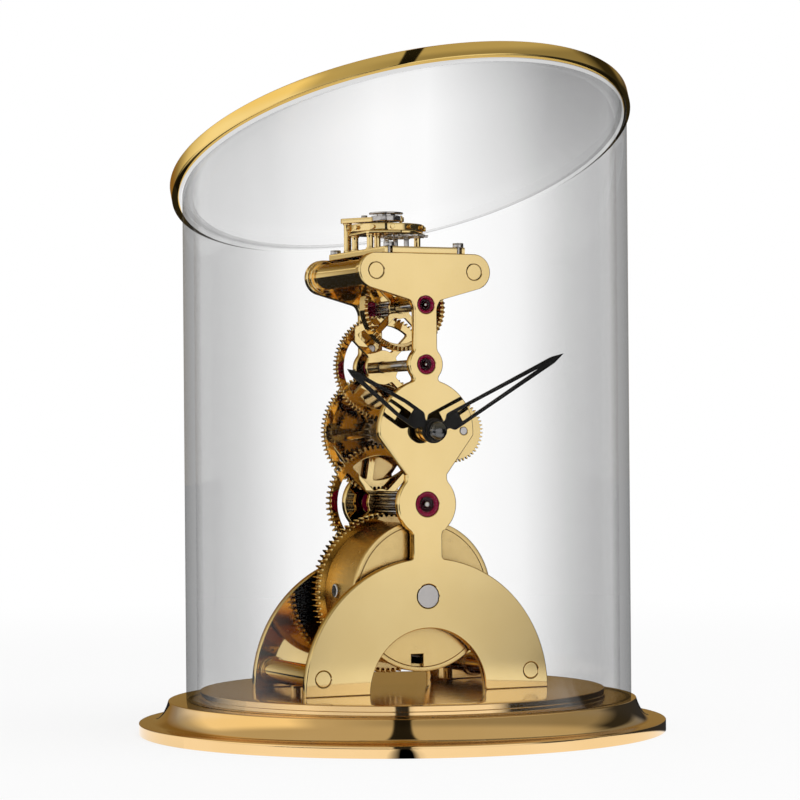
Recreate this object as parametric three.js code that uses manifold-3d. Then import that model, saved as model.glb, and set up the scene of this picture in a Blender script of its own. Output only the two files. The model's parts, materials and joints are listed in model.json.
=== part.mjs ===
// Table clock: a skeleton movement between two polished plates, on a turned base, under a glass cover
// with a slanted lid. Millimetres, +Z up, the table at z = 0, the side with the hands facing -Y.
import * as THREE from 'three';
import { mergeVertices, toCreasedNormals } from 'three/addons/utils/BufferGeometryUtils.js';
import Module from 'manifold-3d';

const wasm = await Module();
wasm.setup();

// Fits
const seat = 0.03; // radial room around a piece that is pressed, screwed or cemented in
const running = 0.12; // radial room around a pivot or a pipe that turns
const shake = 0.3; // room along an axis beside a piece that turns

// Base, from the glass outwards and from the table upwards
const ledgeMargin = 3.6; // how far the ledge shows outside the glass
const discRoom = 3; // between the raised disc and the inside of the glass
const coveReach = 5.4;
const rimReach = 4;
const feltInset = 6;
const baseRimHeight = 3.6;
const coveFootRise = 0.15;
const coveRise = 6.75;
const coveTurn = THREE.MathUtils.degToRad(60); // how far the cove's curve rises from level
const discRise = 3;
const feltThickness = 1.5;

// Cover
const tubeRadius = 71;
const tubeWall = 3.5;
const tubeShift = [1.9, -0.9]; // how far off the middle the cover was set down, within its room
const lidShift = [0.95, -0.45]; // the lid is cemented on a little off the tube's axis
const headRoom = 16; // on the clock's axis, from the regulator to the lid's underside
const lidTilt = THREE.MathUtils.degToRad(18.65); // the front is the high side
const coverTurn = THREE.MathUtils.degToRad(9.4); // how the cover was set down on its ledge
const lidThickness = 3.9;
const rimOverhang = 2.25;
const rimThickness = 4.42;

// Plates
const plateThickness = 3;
const frontPlateFace = -20.25; // y of the front plate's front face
const archOuterRadius = 42;
const archInnerRadius = 20;
const lowNeck = 5; // half widths of the plate where it narrows
const lowPinch = 6.9;
const highPinch = 4.05;
const highNeck = 3.8;
const intermediateBoss = 10; // radii of the plate around each axis
const centreBoss = 16.2;
const thirdBoss = 5.75;
const shoulderBoss = 5.65;
const shoulderSlopeStart = 5;
const shoulderSlope = THREE.MathUtils.degToRad(-70); // where the slope meets the round shoulder
const waistRise = 2; // the plate starts to widen this far above the intermediate boss
const widestDrop = 1.5; // below the centre, where the plate is widest
const neckFlareLow = 1; // the neck starts to widen this far below the contrate axis
const neckFlareHigh = 1.4; // and ends this far above it
const platformRoom = 2.17; // from the contrate wheel up to the plates' tops

// Train: the axes stand above each other at x = 0, from the great wheel's room over the base upwards
const barrelRoom = 4.1;
const barrelToIntermediate = 28.87;
const intermediateToCentre = 22.97;
const centreToThird = 20.92;
const thirdToContrate = 18.71;

// Tooth counts
const greatTeeth = 88;
const intermediateLeaves = 12;
const intermediateTeeth = 64;
const centreLeaves = 16;
const centreTeeth = 80;
const thirdLeaves = 10;
const thirdTeeth = 75;
const contrateLeaves = 10;
const contrateTeeth = 60;
const escapeLeaves = 6;
const escapeTeeth = 15;
const cannonTeeth = 16;
const minuteTeeth = 48;
const minuteLeaves = 12;
const hourTeeth = 48;
const ratchetTeeth = 24;

// Wheels: how thick they are, and the rooms between them, from the rear plate forwards
const greatThickness = 4;
const wheelThickness = 1.8;
const thinWheel = 1.2;
const wheelRim = 2.2;
const spokeWidth = 2.2;
const centreRoom = 1.1;
const intermediateRoom = 1.5;
const thirdRoom = 0.4;
const greatRoom = 2.3;
const minuteStudX = 12.8;
const intermediateLeafRoom = 5; // between the front plate and the intermediate pinion
const hourRoom = 0.75;
const minuteRoom = 1.5;
const cannonLength = 2;

// Barrel
const flangeInset = 0.56; // from the great wheel's roots to the drum's flange
const flangeProud = 1.2;
const drumWall = 1.3;
const drumFlangeWidth = 2;
const drumRoom = 0.95;
const coverSeat = 1; // how far the cover's edge lies on the drum's wall
const drumWeb = 1.5;
const barrelCoverThickness = 1.5;
const pryNotch = [4.1, 3.6];
const pryNotchX = -2.2;
const barrelPivot = 3.65;
const barrelCore = 5.5;
const hookRadius = 2.3;
const hookProud = 0.5;
const springStrip = 0.7;
const springTurns = 4;

// Winding work behind the rear plate
const squareSize = 5;
const squareLength = 9;
const ratchetRadius = 9;
const ratchetThickness = 1.8;
const clickGap = 0.15;
const clickReach = 7;
const clickAngle = THREE.MathUtils.degToRad(120);
const clickEye = 2;
const clickThickness = 1.6;
const clickScrewShank = 1;
const clickScrewHead = 1.7;

// Pivots and jewels
const pivot = 1;
const arborRadius = 1.8;
const slimArbor = 1.4; // behind the pinions with the fewest leaves
const stoutArbor = 2.2; // the slow arbor under the intermediate wheel
const intermediateJewel = 3.9;
const thirdJewel = 3;
const contrateJewel = 2.8;
const centreJewel = 2.6;
const jewelRecess = 0.2;

// Pillars and base studs
const upperPillarX = 16.93;
const upperPillarRadius = 4.1;
const upperCollar = 5.2;
const footInset = 6.07; // from the arch's outer edge to the lower pillars
const lowerPillarRise = 5.48;
const lowerPillarRadius = 3.75;
const lowerCollar = 4.5;
const collarWidth = 1.6;
const tenonRadius = 2.55;
const studRadius = 1.55;
const studDepth = 4;
const studBite = 2;

// Hands
const centreFrontArbor = 1.2;
const cannonPipe = 1.9;
const hourPipe = 3;
const minuteStudRadius = 1.2;
const minuteHandLength = 51.05;
const minuteHandAngle = 61.5; // degrees from twelve, at ten past ten
const minuteHub = 3.4;
const hourHandLength = 34.9;
const hourHandAngle = 303.25;
const hourHub = 3.9;
const handThickness = 0.8;
const hourHandRoom = 4.35; // between the front plate and the hour hand
const minuteHandRoom = 1.2; // between the two hands
const handBar = 1.1;
const handNeck = 1.4; // half the width beside the hub
const handFlare = 5.8; // from the axis to where the neck is full width
const handBlock = 9.3; // from the axis to where the two bars part
const handSlotEnd = 0.08; // half the width of the slot's narrow end
const leafHalf = 1.4; // half the width of the leaf, where the bars meet
const hourSpread = 3.05; // half the width over the two bars
const hourShoulder = 13; // from the axis to where the bars start to close
const hourLeafLength = 6.4;
const minuteSpread = 2.95;
const minuteShoulder = 7;
const minuteLeafLength = 10.6;
const nutRadius = 2.9;
const nutLength = 2.6;

// Platform escapement
const platformThickness = 2;
const platformHalfWidth = 13.9;
const platformInset = 0.5; // from the plates' outer faces
const platformScrewInset = 1.9;
const screwShank = 0.75;
const screwHead = 1.7;
const screwHeadHeight = 1.4;
const screwDepth = 4;
const screwSlotReach = 4; // of the open slots in the platform, past its ends
const contrateRadius = 14;
const contrateBite = 1; // how far in front of its teeth the escape arbor stands
const contrateToothDepth = 1;
const contrateRimDepth = 3.6;
const contrateRimWidth = 1.2;
const contrateLeafRoom = 4; // between the contrate wheel and its pinion
const escapeRoom = 11.35; // from the front plate's inside to the escape arbor
const leverRoom = 1.3; // from the escape wheel's tips to the lever's axis
const leverToBalance = 7.1;
const balanceOverRear = 1.2; // how far the balance reaches over the rear plate
const postHeight = 5.26;
const postRadius = 1.05;
const postFlange = 1.4;
const postFlangeHeight = 0.9;
const postMargin = 0.3; // of the escapement plate round its posts
const postPlaces = [[-10, -9.5], [-6.5, -7.4], [10, -2.2], [-10, 2.2]]; // from the balance's axis
const escapementPlate = 0.9;
const escapeRadius = 7;
const escapeWheelLift = 3.9; // above the platform
const escapeWheelThickness = 0.6;
const leverSwingRoom = 0.5; // the pallets stay this far outside the escape wheel's tips
const balanceRadius = 12.2;
const balanceRimWidth = 1.9;
const balanceRimHeight = 2.4;
const balanceScrewHead = 0.75;
const balanceScrewProud = 1;
const balanceScrews = 12;
const staffRadius = 0.8;
const finePivot = 0.5;
const leverBar = 0.9;
const balanceArmLift = 0.6;
const balanceArm = 1;
const escapeLeafOverhang = 1; // of the escape pinion, past the contrate wheel's rim
const rollerRadius = 2.4;
const rollerThickness = 0.5;
const hairspringTurns = 4;
const hairspringInner = 1.4;
const hairspringPitch = 0.8;
const hairspringStrip = 0.25;
const hairspringHeight = 0.5;
const springStudRadius = 0.5;
const cockDirection = THREE.MathUtils.degToRad(125); // of the cock's post, seen from the balance
const cockPostRoom = 0.5;
const cockPostRadius = 1.2;
const cockCollar = 1.35;
const cockRoom = 1.25; // between the balance's rim and the cock
const cockArmWidth = 4.4;
const cockEyeRadius = 4.5;
const cockArmThickness = 1.55;
const cockScrewShare = 0.55; // of the way from the balance's axis to the post
const cockScrewHead = 1;
const cockScrewHeight = 0.8;
const regulatorRadius = 5.5;
const regulatorHub = 3;
const regulatorThickness = 0.5;
const regulatorLift = 0.8;
const regulatorTab = 1.2;

// Clock-work gearing: a pair shares the distance between its axes in the ratio of its teeth
const share = (distance, mine, other) => (distance * mine) / (mine + other);
const greatPitch = share(barrelToIntermediate, greatTeeth, intermediateLeaves);
const intermediateLeafPitch = share(barrelToIntermediate, intermediateLeaves, greatTeeth);
const intermediatePitch = share(intermediateToCentre, intermediateTeeth, centreLeaves);
const centreLeafPitch = share(intermediateToCentre, centreLeaves, intermediateTeeth);
const centrePitch = share(centreToThird, centreTeeth, thirdLeaves);
const thirdLeafPitch = share(centreToThird, thirdLeaves, centreTeeth);
const thirdPitch = share(thirdToContrate, thirdTeeth, contrateLeaves);
const contrateLeafPitch = share(thirdToContrate, contrateLeaves, thirdTeeth);
const cannonPitch = share(minuteStudX, cannonTeeth, minuteTeeth);
const minutePitch = share(minuteStudX, minuteTeeth, cannonTeeth);
const minuteLeafPitch = share(minuteStudX, minuteLeaves, hourTeeth);
const hourPitch = share(minuteStudX, hourTeeth, minuteLeaves);

// How deep the teeth go inside and outside the pitch circle, in modules
const wheelForm = { root: 1.45, tip: 0.95 };
const pinionForm = { root: 1.45, tip: 0.85 };
const escapeForm = { root: 1.1, tip: 0.75 };
const rootOf = (count, pitchRadius, form) => pitchRadius - (form.root * 2 * pitchRadius) / count;
const tipOf = (count, pitchRadius, form) => pitchRadius + (form.tip * 2 * pitchRadius) / count;

// Derived places: radii of the base
const ledgeRadius = tubeRadius + ledgeMargin;
const discRadius = tubeRadius - tubeWall - discRoom;
const coveFootRadius = ledgeRadius + coveReach;
const baseRadius = coveFootRadius + rimReach;
const feltRadius = baseRadius - feltInset;

// Derived places: heights, from the table to the lid
const coveFootHeight = baseRimHeight + coveFootRise;
const ledgeHeight = coveFootHeight + coveRise;
const discHeight = ledgeHeight + discRise;
const barrelHeight = discHeight + barrelRoom + tipOf(greatTeeth, greatPitch, wheelForm);
const intermediateHeight = barrelHeight + barrelToIntermediate;
const centreHeight = intermediateHeight + intermediateToCentre;
const thirdHeight = centreHeight + centreToThird;
const contrateHeight = thirdHeight + thirdToContrate;
const plateTop = contrateHeight + contrateRadius + platformRoom;
const upperPillarZ = plateTop - shoulderBoss;
const lowerPillarX = archOuterRadius - footInset;
const lowerPillarZ = discHeight + lowerPillarRise;
const platformTop = plateTop + platformThickness;
const escapementPlateLow = platformTop + postHeight;
const escapementPlateHigh = escapementPlateLow + escapementPlate;
const balanceLow = escapementPlateHigh + shake;
const cockLow = balanceLow + balanceRimHeight + cockRoom;
const cockTop = cockLow + cockArmThickness;
const regulatorLow = cockTop + regulatorLift;
const regulatorTop = regulatorLow + regulatorThickness;
const lidCentreHeight = regulatorTop + headRoom;

// Derived places: from the front to the back
const frontInner = frontPlateFace + plateThickness;
const escapeY = frontInner + escapeRoom;
const leverY = escapeY + escapeRadius + leverRoom;
const balanceY = leverY + leverToBalance;
const rearInner = balanceY + balanceRadius + balanceScrewProud - balanceOverRear;
const rearPlateFace = rearInner + plateThickness;
const middleY = (frontInner + rearInner) / 2;
const platformFront = frontPlateFace + platformInset;
const platformBack = rearPlateFace - platformInset;
const platformScrewX = platformHalfWidth - platformScrewInset;
const contrateFace = escapeY + contrateBite;
const centreFace = rearInner - centreRoom - wheelThickness;
const intermediateFace = centreFace - intermediateRoom - wheelThickness;
const thirdFace = intermediateFace - thirdRoom - wheelThickness;
const greatFace = intermediateFace - greatRoom - greatThickness;
const drumFront = frontInner + drumRoom;
const hourFace = frontInner + hourRoom;
const minuteFace = hourFace + thinWheel + minuteRoom;
const hourHandFace = frontPlateFace - hourHandRoom - handThickness;
const minuteHandFace = hourHandFace - minuteHandRoom - handThickness;
const drumFlange = rootOf(greatTeeth, greatPitch, wheelForm) - flangeInset;
const drumRadius = drumFlange - flangeProud;
const barrelCoverRadius = drumRadius - drumWall + coverSeat;
const up = Math.PI / 2;

// A tooth at phaseA on the first gear sets where the teeth of a gear in the given direction must be
function meshPhase(teethA, phaseA, teethB, direction) {
  const along = (teethA * (phaseA - direction)) / (2 * Math.PI) + 0.5;
  return direction + Math.PI - (2 * Math.PI * along) / teethB;
}

const intermediateLeafPhase = meshPhase(greatTeeth, 0, intermediateLeaves, up);
const centreLeafPhase = meshPhase(intermediateTeeth, 0, centreLeaves, up);
const thirdLeafPhase = meshPhase(centreTeeth, 0, thirdLeaves, up);
const contrateLeafPhase = meshPhase(thirdTeeth, 0, contrateLeaves, up);
const minutePhase = meshPhase(cannonTeeth, 0, minuteTeeth, 0);
const hourPhase = meshPhase(minuteLeaves, 0, hourTeeth, Math.PI);

// Geometry helpers

function clean(geometry) {
  const bare = geometry.clone();
  bare.deleteAttribute('normal');
  bare.deleteAttribute('uv');
  const merged = mergeVertices(bare, 1e-4);
  const index = merged.index.array;
  const p = merged.attributes.position.array;
  const kept = [];
  let volume = 0;
  for (let i = 0; i < index.length; i += 3) {
    const [a, b, c] = [index[i], index[i + 1], index[i + 2]];
    if (a === b || b === c || c === a) continue;
    kept.push(a, b, c);
    const [u, v, w] = [a * 3, b * 3, c * 3];
    volume += p[u] * (p[v + 1] * p[w + 2] - p[v + 2] * p[w + 1]);
    volume += p[u + 1] * (p[v + 2] * p[w] - p[v] * p[w + 2]);
    volume += p[u + 2] * (p[v] * p[w + 1] - p[v + 1] * p[w]);
  }
  if (volume < 0) kept.reverse();
  merged.setIndex(kept);
  return merged;
}

function solid(geometry) {
  const g = clean(geometry);
  return new wasm.Manifold(new wasm.Mesh({
    numProp: 3,
    vertProperties: Float32Array.from(g.attributes.position.array),
    triVerts: Uint32Array.from(g.index.array),
  }));
}

function surface(body) {
  const mesh = body.getMesh();
  const g = new THREE.BufferGeometry();
  g.setAttribute('position', new THREE.BufferAttribute(Float32Array.from(mesh.vertProperties), 3));
  g.setIndex(Array.from(mesh.triVerts));
  return g;
}

function join(first, ...others) {
  return surface(others.reduce((body, other) => body.add(solid(other)), solid(first)));
}

function cut(first, ...tools) {
  return surface(tools.reduce((body, tool) => body.subtract(solid(tool)), solid(first)));
}

// A closed loop of points on a circle, as [across, up] pairs
function circle(radius, steps = 24, x = 0, y = 0, phase = 0) {
  return Array.from({ length: steps }, (_, i) => {
    const a = phase + (2 * Math.PI * i) / steps;
    return [x + radius * Math.cos(a), y + radius * Math.sin(a)];
  });
}

// Points along an arc, both ends included; angles in radians
function arc(radius, from, to, steps, x = 0, y = 0) {
  return Array.from({ length: steps + 1 }, (_, i) => {
    const a = from + ((to - from) * i) / steps;
    return [x + radius * Math.cos(a), y + radius * Math.sin(a)];
  });
}

function shapeOf(outline, holes) {
  const shape = new THREE.Shape(outline.map(([x, y]) => new THREE.Vector2(x, y)));
  shape.holes = holes.map((h) => new THREE.Path(h.map(([x, y]) => new THREE.Vector2(x, y))));
  return shape;
}

// A flat piece that stands upright: its outline is in x and z, its thickness runs along y
function upright(outline, holes, front, back, x = 0, z = 0) {
  const g = new THREE.ExtrudeGeometry(shapeOf(outline, holes), { depth: back - front, bevelEnabled: false });
  g.rotateX(up);
  g.translate(x, back, z);
  return clean(g);
}

// A flat piece that lies level: its outline is in x and y
function level(outline, holes, low, high, x = 0, y = 0) {
  const g = new THREE.ExtrudeGeometry(shapeOf(outline, holes), { depth: high - low, bevelEnabled: false });
  g.translate(x, y, low);
  return clean(g);
}

function lathe(profile, steps) {
  const closed = profile[0][0] === 0 ? profile : [...profile, profile[0]];
  return new THREE.LatheGeometry(closed.map(([r, y]) => new THREE.Vector2(r, y)), steps);
}

// A turned piece: the profile is [radius, height], from axis to axis or round a ring
function turned(profile, steps, x = 0, y = 0) {
  const g = lathe(profile, steps);
  g.rotateX(up);
  g.translate(x, y, 0);
  return clean(g);
}

// A turned piece that lies along y: the profile is [radius, y]
function arbor(profile, steps, x = 0, z = 0) {
  const g = lathe(profile, steps);
  g.translate(x, 0, z);
  return clean(g);
}

const rod = (radius, from, to) => [[0, from], [radius, from], [radius, to], [0, to]];
const ring = (inner, outer, from, to) => [[inner, from], [outer, from], [outer, to], [inner, to]];

// Teeth as a closed loop: each rises to a point between two roots, thin enough to leave backlash
function teeth(count, pitchRadius, phase, form) {
  const module = (2 * pitchRadius) / count;
  const step = (2 * Math.PI) / count;
  const root = pitchRadius - form.root * module;
  const tip = pitchRadius + form.tip * module;
  const loop = [];
  for (let i = 0; i < count; i += 1) {
    const a = phase + i * step;
    loop.push([root * Math.cos(a - step / 2), root * Math.sin(a - step / 2)]);
    loop.push([tip * Math.cos(a), tip * Math.sin(a)]);
  }
  return loop;
}

// The openings between a wheel's spokes
function crossings(spokes, hub, rim, width, phase = 0) {
  return Array.from({ length: spokes }, (_, i) => {
    const from = phase + (2 * Math.PI * i) / spokes;
    const to = from + (2 * Math.PI) / spokes;
    const outer = Math.asin(width / 2 / rim);
    const inner = Math.asin(width / 2 / hub);
    return [...arc(rim, from + outer, to - outer, 5), ...arc(hub, to - inner, from + inner, 2)];
  });
}

// A strip wound in a flat spiral, as one closed loop round both of its edges
function spiral(inner, pitch, turns, strip, steps) {
  const count = Math.round(turns * steps);
  const edge = (offset) => Array.from({ length: count + 1 }, (_, i) => {
    const a = (2 * Math.PI * i) / steps;
    const r = inner + (pitch * i) / steps + offset;
    return [r * Math.cos(a), r * Math.sin(a)];
  });
  const outside = edge(strip / 2);
  const inside = edge(-strip / 2);
  let least = Infinity;
  for (let i = 0; i <= count; i += 1) {
    for (let j = i + Math.round(steps / 2); j <= count; j += 1) {
      least = Math.min(least, Math.hypot(outside[i][0] - inside[j][0], outside[i][1] - inside[j][1]));
    }
  }
  return { loop: [...outside, ...inside.reverse()], least };
}

const group = new THREE.Group();
group.name = 'table_clock';
const finishes = {
  gold: [0xd9b566, 1, 0.2],
  steel: [0xb9b6b2, 1, 0.25],
  black: [0x121212, 0.4, 0.35],
  ruby: [0x8c1238, 0, 0.15],
  glass: [0xeef3f2, 0, 0.05],
  felt: [0x1d3328, 0, 0.95],
};

function add(name, finish, geometry) {
  const [color, metalness, roughness] = finishes[finish];
  const material = new THREE.MeshStandardMaterial({ color, metalness, roughness });
  if (finish === 'glass') {
    material.transparent = true;
    material.opacity = 0.3;
  }
  const mesh = new THREE.Mesh(toCreasedNormals(clean(geometry), 0.6), material);
  mesh.name = name;
  group.add(mesh);
}

// Base: one turned plinth with a rim, a cove, the ledge for the glass and a raised disc; felt below
const cove = Array.from({ length: 5 }, (_, i) => {
  const a = (coveTurn * i) / 4;
  const across = (coveReach * Math.sin(a)) / Math.sin(coveTurn);
  const rise = (coveRise * (1 - Math.cos(a))) / (1 - Math.cos(coveTurn));
  return [coveFootRadius - across, coveFootHeight + rise];
});
const plinth = turned([
  [0, feltThickness], [feltRadius + seat, feltThickness], [feltRadius + seat, 0],
  [baseRadius, 0], [baseRadius, baseRimHeight], ...cove,
  [discRadius, ledgeHeight], [discRadius, discHeight], [0, discHeight],
], 40);
const studHole = (side) => turned(
  rod(studRadius + seat, discHeight - studDepth, discHeight + studDepth), 8, side * lowerPillarX, middleY);
add('base_plinth', 'gold', cut(plinth, studHole(-1), studHole(1)));
add('base_felt', 'felt', turned(rod(feltRadius, 0, feltThickness), 40));

// Cover: a tube cut off on the slant, a lid cemented on it, and a gilt rim round the lid
function slanted(geometry) {
  geometry.rotateX(-lidTilt);
  geometry.rotateZ(coverTurn);
  geometry.translate(...lidShift, lidCentreHeight);
  return clean(geometry);
}

// An oval in the lid's plane that covers a circle of this radius seen from above
function oval(radius, steps = 48) {
  return circle(radius, steps).map(([x, y]) => [x, y / Math.cos(lidTilt)]);
}

const tallTube = turned(
  ring(tubeRadius - tubeWall, tubeRadius, ledgeHeight, lidCentreHeight + tubeRadius), 48, ...tubeShift);
const aboveLid = new THREE.BoxGeometry(4 * tubeRadius, 4 * tubeRadius, 2 * tubeRadius);
aboveLid.translate(0, 0, tubeRadius);
add('glass_tube', 'glass', cut(tallTube, slanted(aboveLid)));
add('glass_lid', 'glass', slanted(level(oval(tubeRadius), [], 0, lidThickness)));
add('lid_rim', 'gold', slanted(level(
  oval(tubeRadius + rimOverhang), [oval(tubeRadius + seat)], 0, rimThickness)));

// Plates: bosses round the axes, joined by necks, from the arched feet to the shoulders under the platform
function plate(front, back, holes) {
  const disc = (radius, z, steps) => upright(circle(radius, steps), [], front, back, 0, z);
  const bar = (half, low, high) => upright(
    [[-half, low], [half, low], [half, high], [-half, high]], [], front, back);
  const mirrored = (side) => upright(
    [...side, ...side.map(([x, z]) => [-x, z]).reverse()], [], front, back);
  const arch = upright([
    ...arc(archOuterRadius, 0, Math.PI, 26, 0, discHeight),
    ...arc(archInnerRadius, Math.PI, 0, 14, 0, discHeight),
  ], [], front, back);
  const waist = intermediateHeight + Math.sqrt(intermediateBoss ** 2 - lowPinch ** 2) + waistRise;
  const widest = -Math.asin(widestDrop / centreBoss);
  const middle = mirrored([
    [lowPinch, intermediateHeight], [lowPinch, waist],
    ...arc(centreBoss, widest, Math.acos(highPinch / centreBoss), 8, 0, centreHeight),
  ]);
  const head = mirrored([
    [highNeck, thirdHeight], [highNeck, contrateHeight - neckFlareLow],
    [shoulderSlopeStart, contrateHeight + neckFlareHigh],
    ...arc(shoulderBoss, shoulderSlope, up, 7, upperPillarX, upperPillarZ),
  ]);
  const body = join(
    arch, bar(lowNeck, discHeight + (archInnerRadius + archOuterRadius) / 2, intermediateHeight),
    disc(intermediateBoss, intermediateHeight, 24), middle, bar(highPinch, centreHeight, thirdHeight),
    disc(thirdBoss, thirdHeight, 16), head);
  const through = holes.map((loop) => upright(loop, [], front - plateThickness, back + plateThickness));
  const screwY = (front + back) / 2;
  return cut(body, ...through, platformScrewHole(-1, screwY), platformScrewHole(1, screwY));
}
const tenonHoles = [-1, 1].flatMap((side) => [
  circle(tenonRadius + seat, 12, side * upperPillarX, upperPillarZ),
  circle(tenonRadius + seat, 12, side * lowerPillarX, lowerPillarZ),
]);
const jewelHole = (radius, z) => circle(radius + seat, 12, 0, z);
const trainHoles = [
  circle(barrelPivot + running, 16, 0, barrelHeight),
  jewelHole(intermediateJewel, intermediateHeight),
  jewelHole(thirdJewel, thirdHeight),
  jewelHole(contrateJewel, contrateHeight),
];
const platformScrewHole = (side, y) => turned(
  rod(screwShank + seat, plateTop - screwDepth - 1, plateTop + 1), 12, side * platformScrewX, y);
const frontScrewY = frontPlateFace + plateThickness / 2;
const rearScrewY = rearPlateFace - plateThickness / 2;
const clickTip = [
  (ratchetRadius + clickGap) * Math.cos(clickAngle),
  barrelHeight + (ratchetRadius + clickGap) * Math.sin(clickAngle),
];
const clickPivot = [
  clickTip[0] - clickReach * Math.sin(clickAngle),
  clickTip[1] + clickReach * Math.cos(clickAngle),
];
const frontHoles = [
  ...trainHoles, ...tenonHoles,
  circle(hourPipe + running, 12, 0, centreHeight),
  circle(minuteStudRadius + seat, 12, minuteStudX, centreHeight),
];
const rearHoles = [
  ...trainHoles, ...tenonHoles,
  jewelHole(centreJewel, centreHeight),
  circle(clickScrewShank + seat, 8, ...clickPivot),
];
add('front_plate', 'gold', plate(frontPlateFace, frontInner, frontHoles));
add('rear_plate', 'gold', plate(rearInner, rearPlateFace, rearHoles));

// Pillars: collars against the plates, tenons through them
function pillar(radius, collar, x, z) {
  return arbor([
    [0, frontPlateFace], [tenonRadius, frontPlateFace], [tenonRadius, frontInner],
    [collar, frontInner], [collar, frontInner + collarWidth], [radius, frontInner + collarWidth],
    [radius, rearInner - collarWidth], [collar, rearInner - collarWidth], [collar, rearInner],
    [tenonRadius, rearInner], [tenonRadius, rearPlateFace], [0, rearPlateFace],
  ], 12, x, z);
}
for (const [side, word] of [[-1, 'left'], [1, 'right']]) {
  const upper = pillar(upperPillarRadius, upperCollar, side * upperPillarX, upperPillarZ);
  add(`upper_pillar_${word}`, 'gold', upper);
  const lower = pillar(lowerPillarRadius, lowerCollar, side * lowerPillarX, lowerPillarZ);
  const studTop = lowerPillarZ - lowerPillarRadius + studBite;
  const bite = turned(rod(studRadius + seat, 0, studTop), 8, side * lowerPillarX, middleY);
  add(`lower_pillar_${word}`, 'gold', cut(lower, bite));
  add(`base_stud_${word}`, 'gold', turned(
    rod(studRadius, discHeight - studDepth, studTop), 8, side * lowerPillarX, middleY));
}

// Jewels: a ruby ring in each plate for each quick arbor
function jewel(radius, face, inward, z) {
  const outer = face + inward * jewelRecess;
  const inner = face + inward * plateThickness;
  return arbor(ring(pivot + running, radius, Math.min(outer, inner), Math.max(outer, inner)), 12, 0, z);
}
add('front_jewel_intermediate', 'ruby', jewel(intermediateJewel, frontPlateFace, 1, intermediateHeight));
add('front_jewel_third', 'ruby', jewel(thirdJewel, frontPlateFace, 1, thirdHeight));
add('front_jewel_contrate', 'ruby', jewel(contrateJewel, frontPlateFace, 1, contrateHeight));
add('rear_jewel_intermediate', 'ruby', jewel(intermediateJewel, rearPlateFace, -1, intermediateHeight));
add('rear_jewel_centre', 'ruby', jewel(centreJewel, rearPlateFace, -1, centreHeight));
add('rear_jewel_third', 'ruby', jewel(thirdJewel, rearPlateFace, -1, thirdHeight));
add('rear_jewel_contrate', 'ruby', jewel(contrateJewel, rearPlateFace, -1, contrateHeight));

// Barrel: drum, toothed great wheel behind it, cover snapped into its front, mainspring and arbor inside
const barrelBore = barrelPivot + running;
const drumInner = drumRadius - drumWall;
const coverBack = drumFront + barrelCoverThickness;
const webFront = greatFace - drumWeb;
const drum = arbor([
  [barrelBore, webFront], [drumInner, webFront], [drumInner, coverBack],
  [barrelCoverRadius + seat, coverBack], [barrelCoverRadius + seat, drumFront], [drumFlange, drumFront],
  [drumFlange, drumFront + drumFlangeWidth], [drumRadius, drumFront + drumFlangeWidth],
  [drumRadius, greatFace], [barrelBore, greatFace],
], 30, 0, barrelHeight);
const hookY = (drumFront + greatFace) / 2 + 4;
function hookRod(radius, from, to) {
  const g = turned(rod(radius, from, to), 10);
  g.rotateY(-up);
  g.translate(0, hookY, barrelHeight + 1.5);
  return g;
}
add('barrel_drum', 'gold', cut(drum, hookRod(hookRadius + seat, drumInner - 3, drumRadius + 3)));
add('barrel_hook', 'steel', hookRod(hookRadius, drumInner - 0.6, drumRadius + hookProud));
add('great_wheel', 'gold', upright(
  teeth(greatTeeth, greatPitch, 0, wheelForm), [circle(barrelBore, 20)],
  greatFace, greatFace + greatThickness, 0, barrelHeight));
const notch = new THREE.BoxGeometry(pryNotch[0], 4 * barrelCoverThickness, 2 * pryNotch[1]);
notch.translate(pryNotchX, drumFront, barrelHeight - barrelCoverRadius);
add('barrel_cover', 'gold', cut(
  arbor(ring(barrelBore, barrelCoverRadius, drumFront, coverBack), 30, 0, barrelHeight), notch));
const springInner = barrelCore + 1.2;
const springPitch = (drumInner - 0.6 - springStrip - springInner) / springTurns;
const mainspring = spiral(springInner, springPitch, springTurns, springStrip, 16);
console.log(`mainspring: least gap between turns ${mainspring.least.toFixed(2)} mm`);
add('mainspring', 'steel', upright(
  mainspring.loop, [], coverBack + shake, webFront - shake, 0, barrelHeight));
const ratchetBack = rearPlateFace + shake + ratchetThickness;
const barrelRod = arbor([
  [0, frontPlateFace], [barrelPivot, frontPlateFace], [barrelPivot, coverBack + shake],
  [barrelCore, coverBack + shake], [barrelCore, webFront - shake], [barrelPivot, webFront - shake],
  [barrelPivot, rearPlateFace + shake], [0, rearPlateFace + shake],
], 16, 0, barrelHeight);
const square = new THREE.BoxGeometry(squareSize, ratchetThickness + squareLength + 1, squareSize);
square.translate(0, rearPlateFace + shake + (ratchetThickness + squareLength - 1) / 2, barrelHeight);
add('barrel_arbor', 'steel', join(barrelRod, square));

// Winding work: ratchet on the arbor's square, click on its screw, and the click's spring
const saw = Array.from({ length: ratchetTeeth }, (_, i) => {
  const a = clickAngle + (2 * Math.PI * i) / ratchetTeeth;
  const step = (2 * Math.PI) / ratchetTeeth;
  const low = ratchetRadius - 1.2;
  return [
    [ratchetRadius * Math.cos(a), ratchetRadius * Math.sin(a)],
    [low * Math.cos(a + 0.12 * step), low * Math.sin(a + 0.12 * step)],
  ];
}).flat();
const halfSquare = squareSize / 2 + seat;
const squareHole = [
  [-halfSquare, -halfSquare], [halfSquare, -halfSquare], [halfSquare, halfSquare], [-halfSquare, halfSquare],
];
add('ratchet_wheel', 'steel', upright(
  saw, [squareHole], rearPlateFace + shake, ratchetBack, 0, barrelHeight));
const clickWay = [Math.sin(clickAngle), -Math.cos(clickAngle)];
const clickSide = [-clickWay[1], clickWay[0]];
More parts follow.
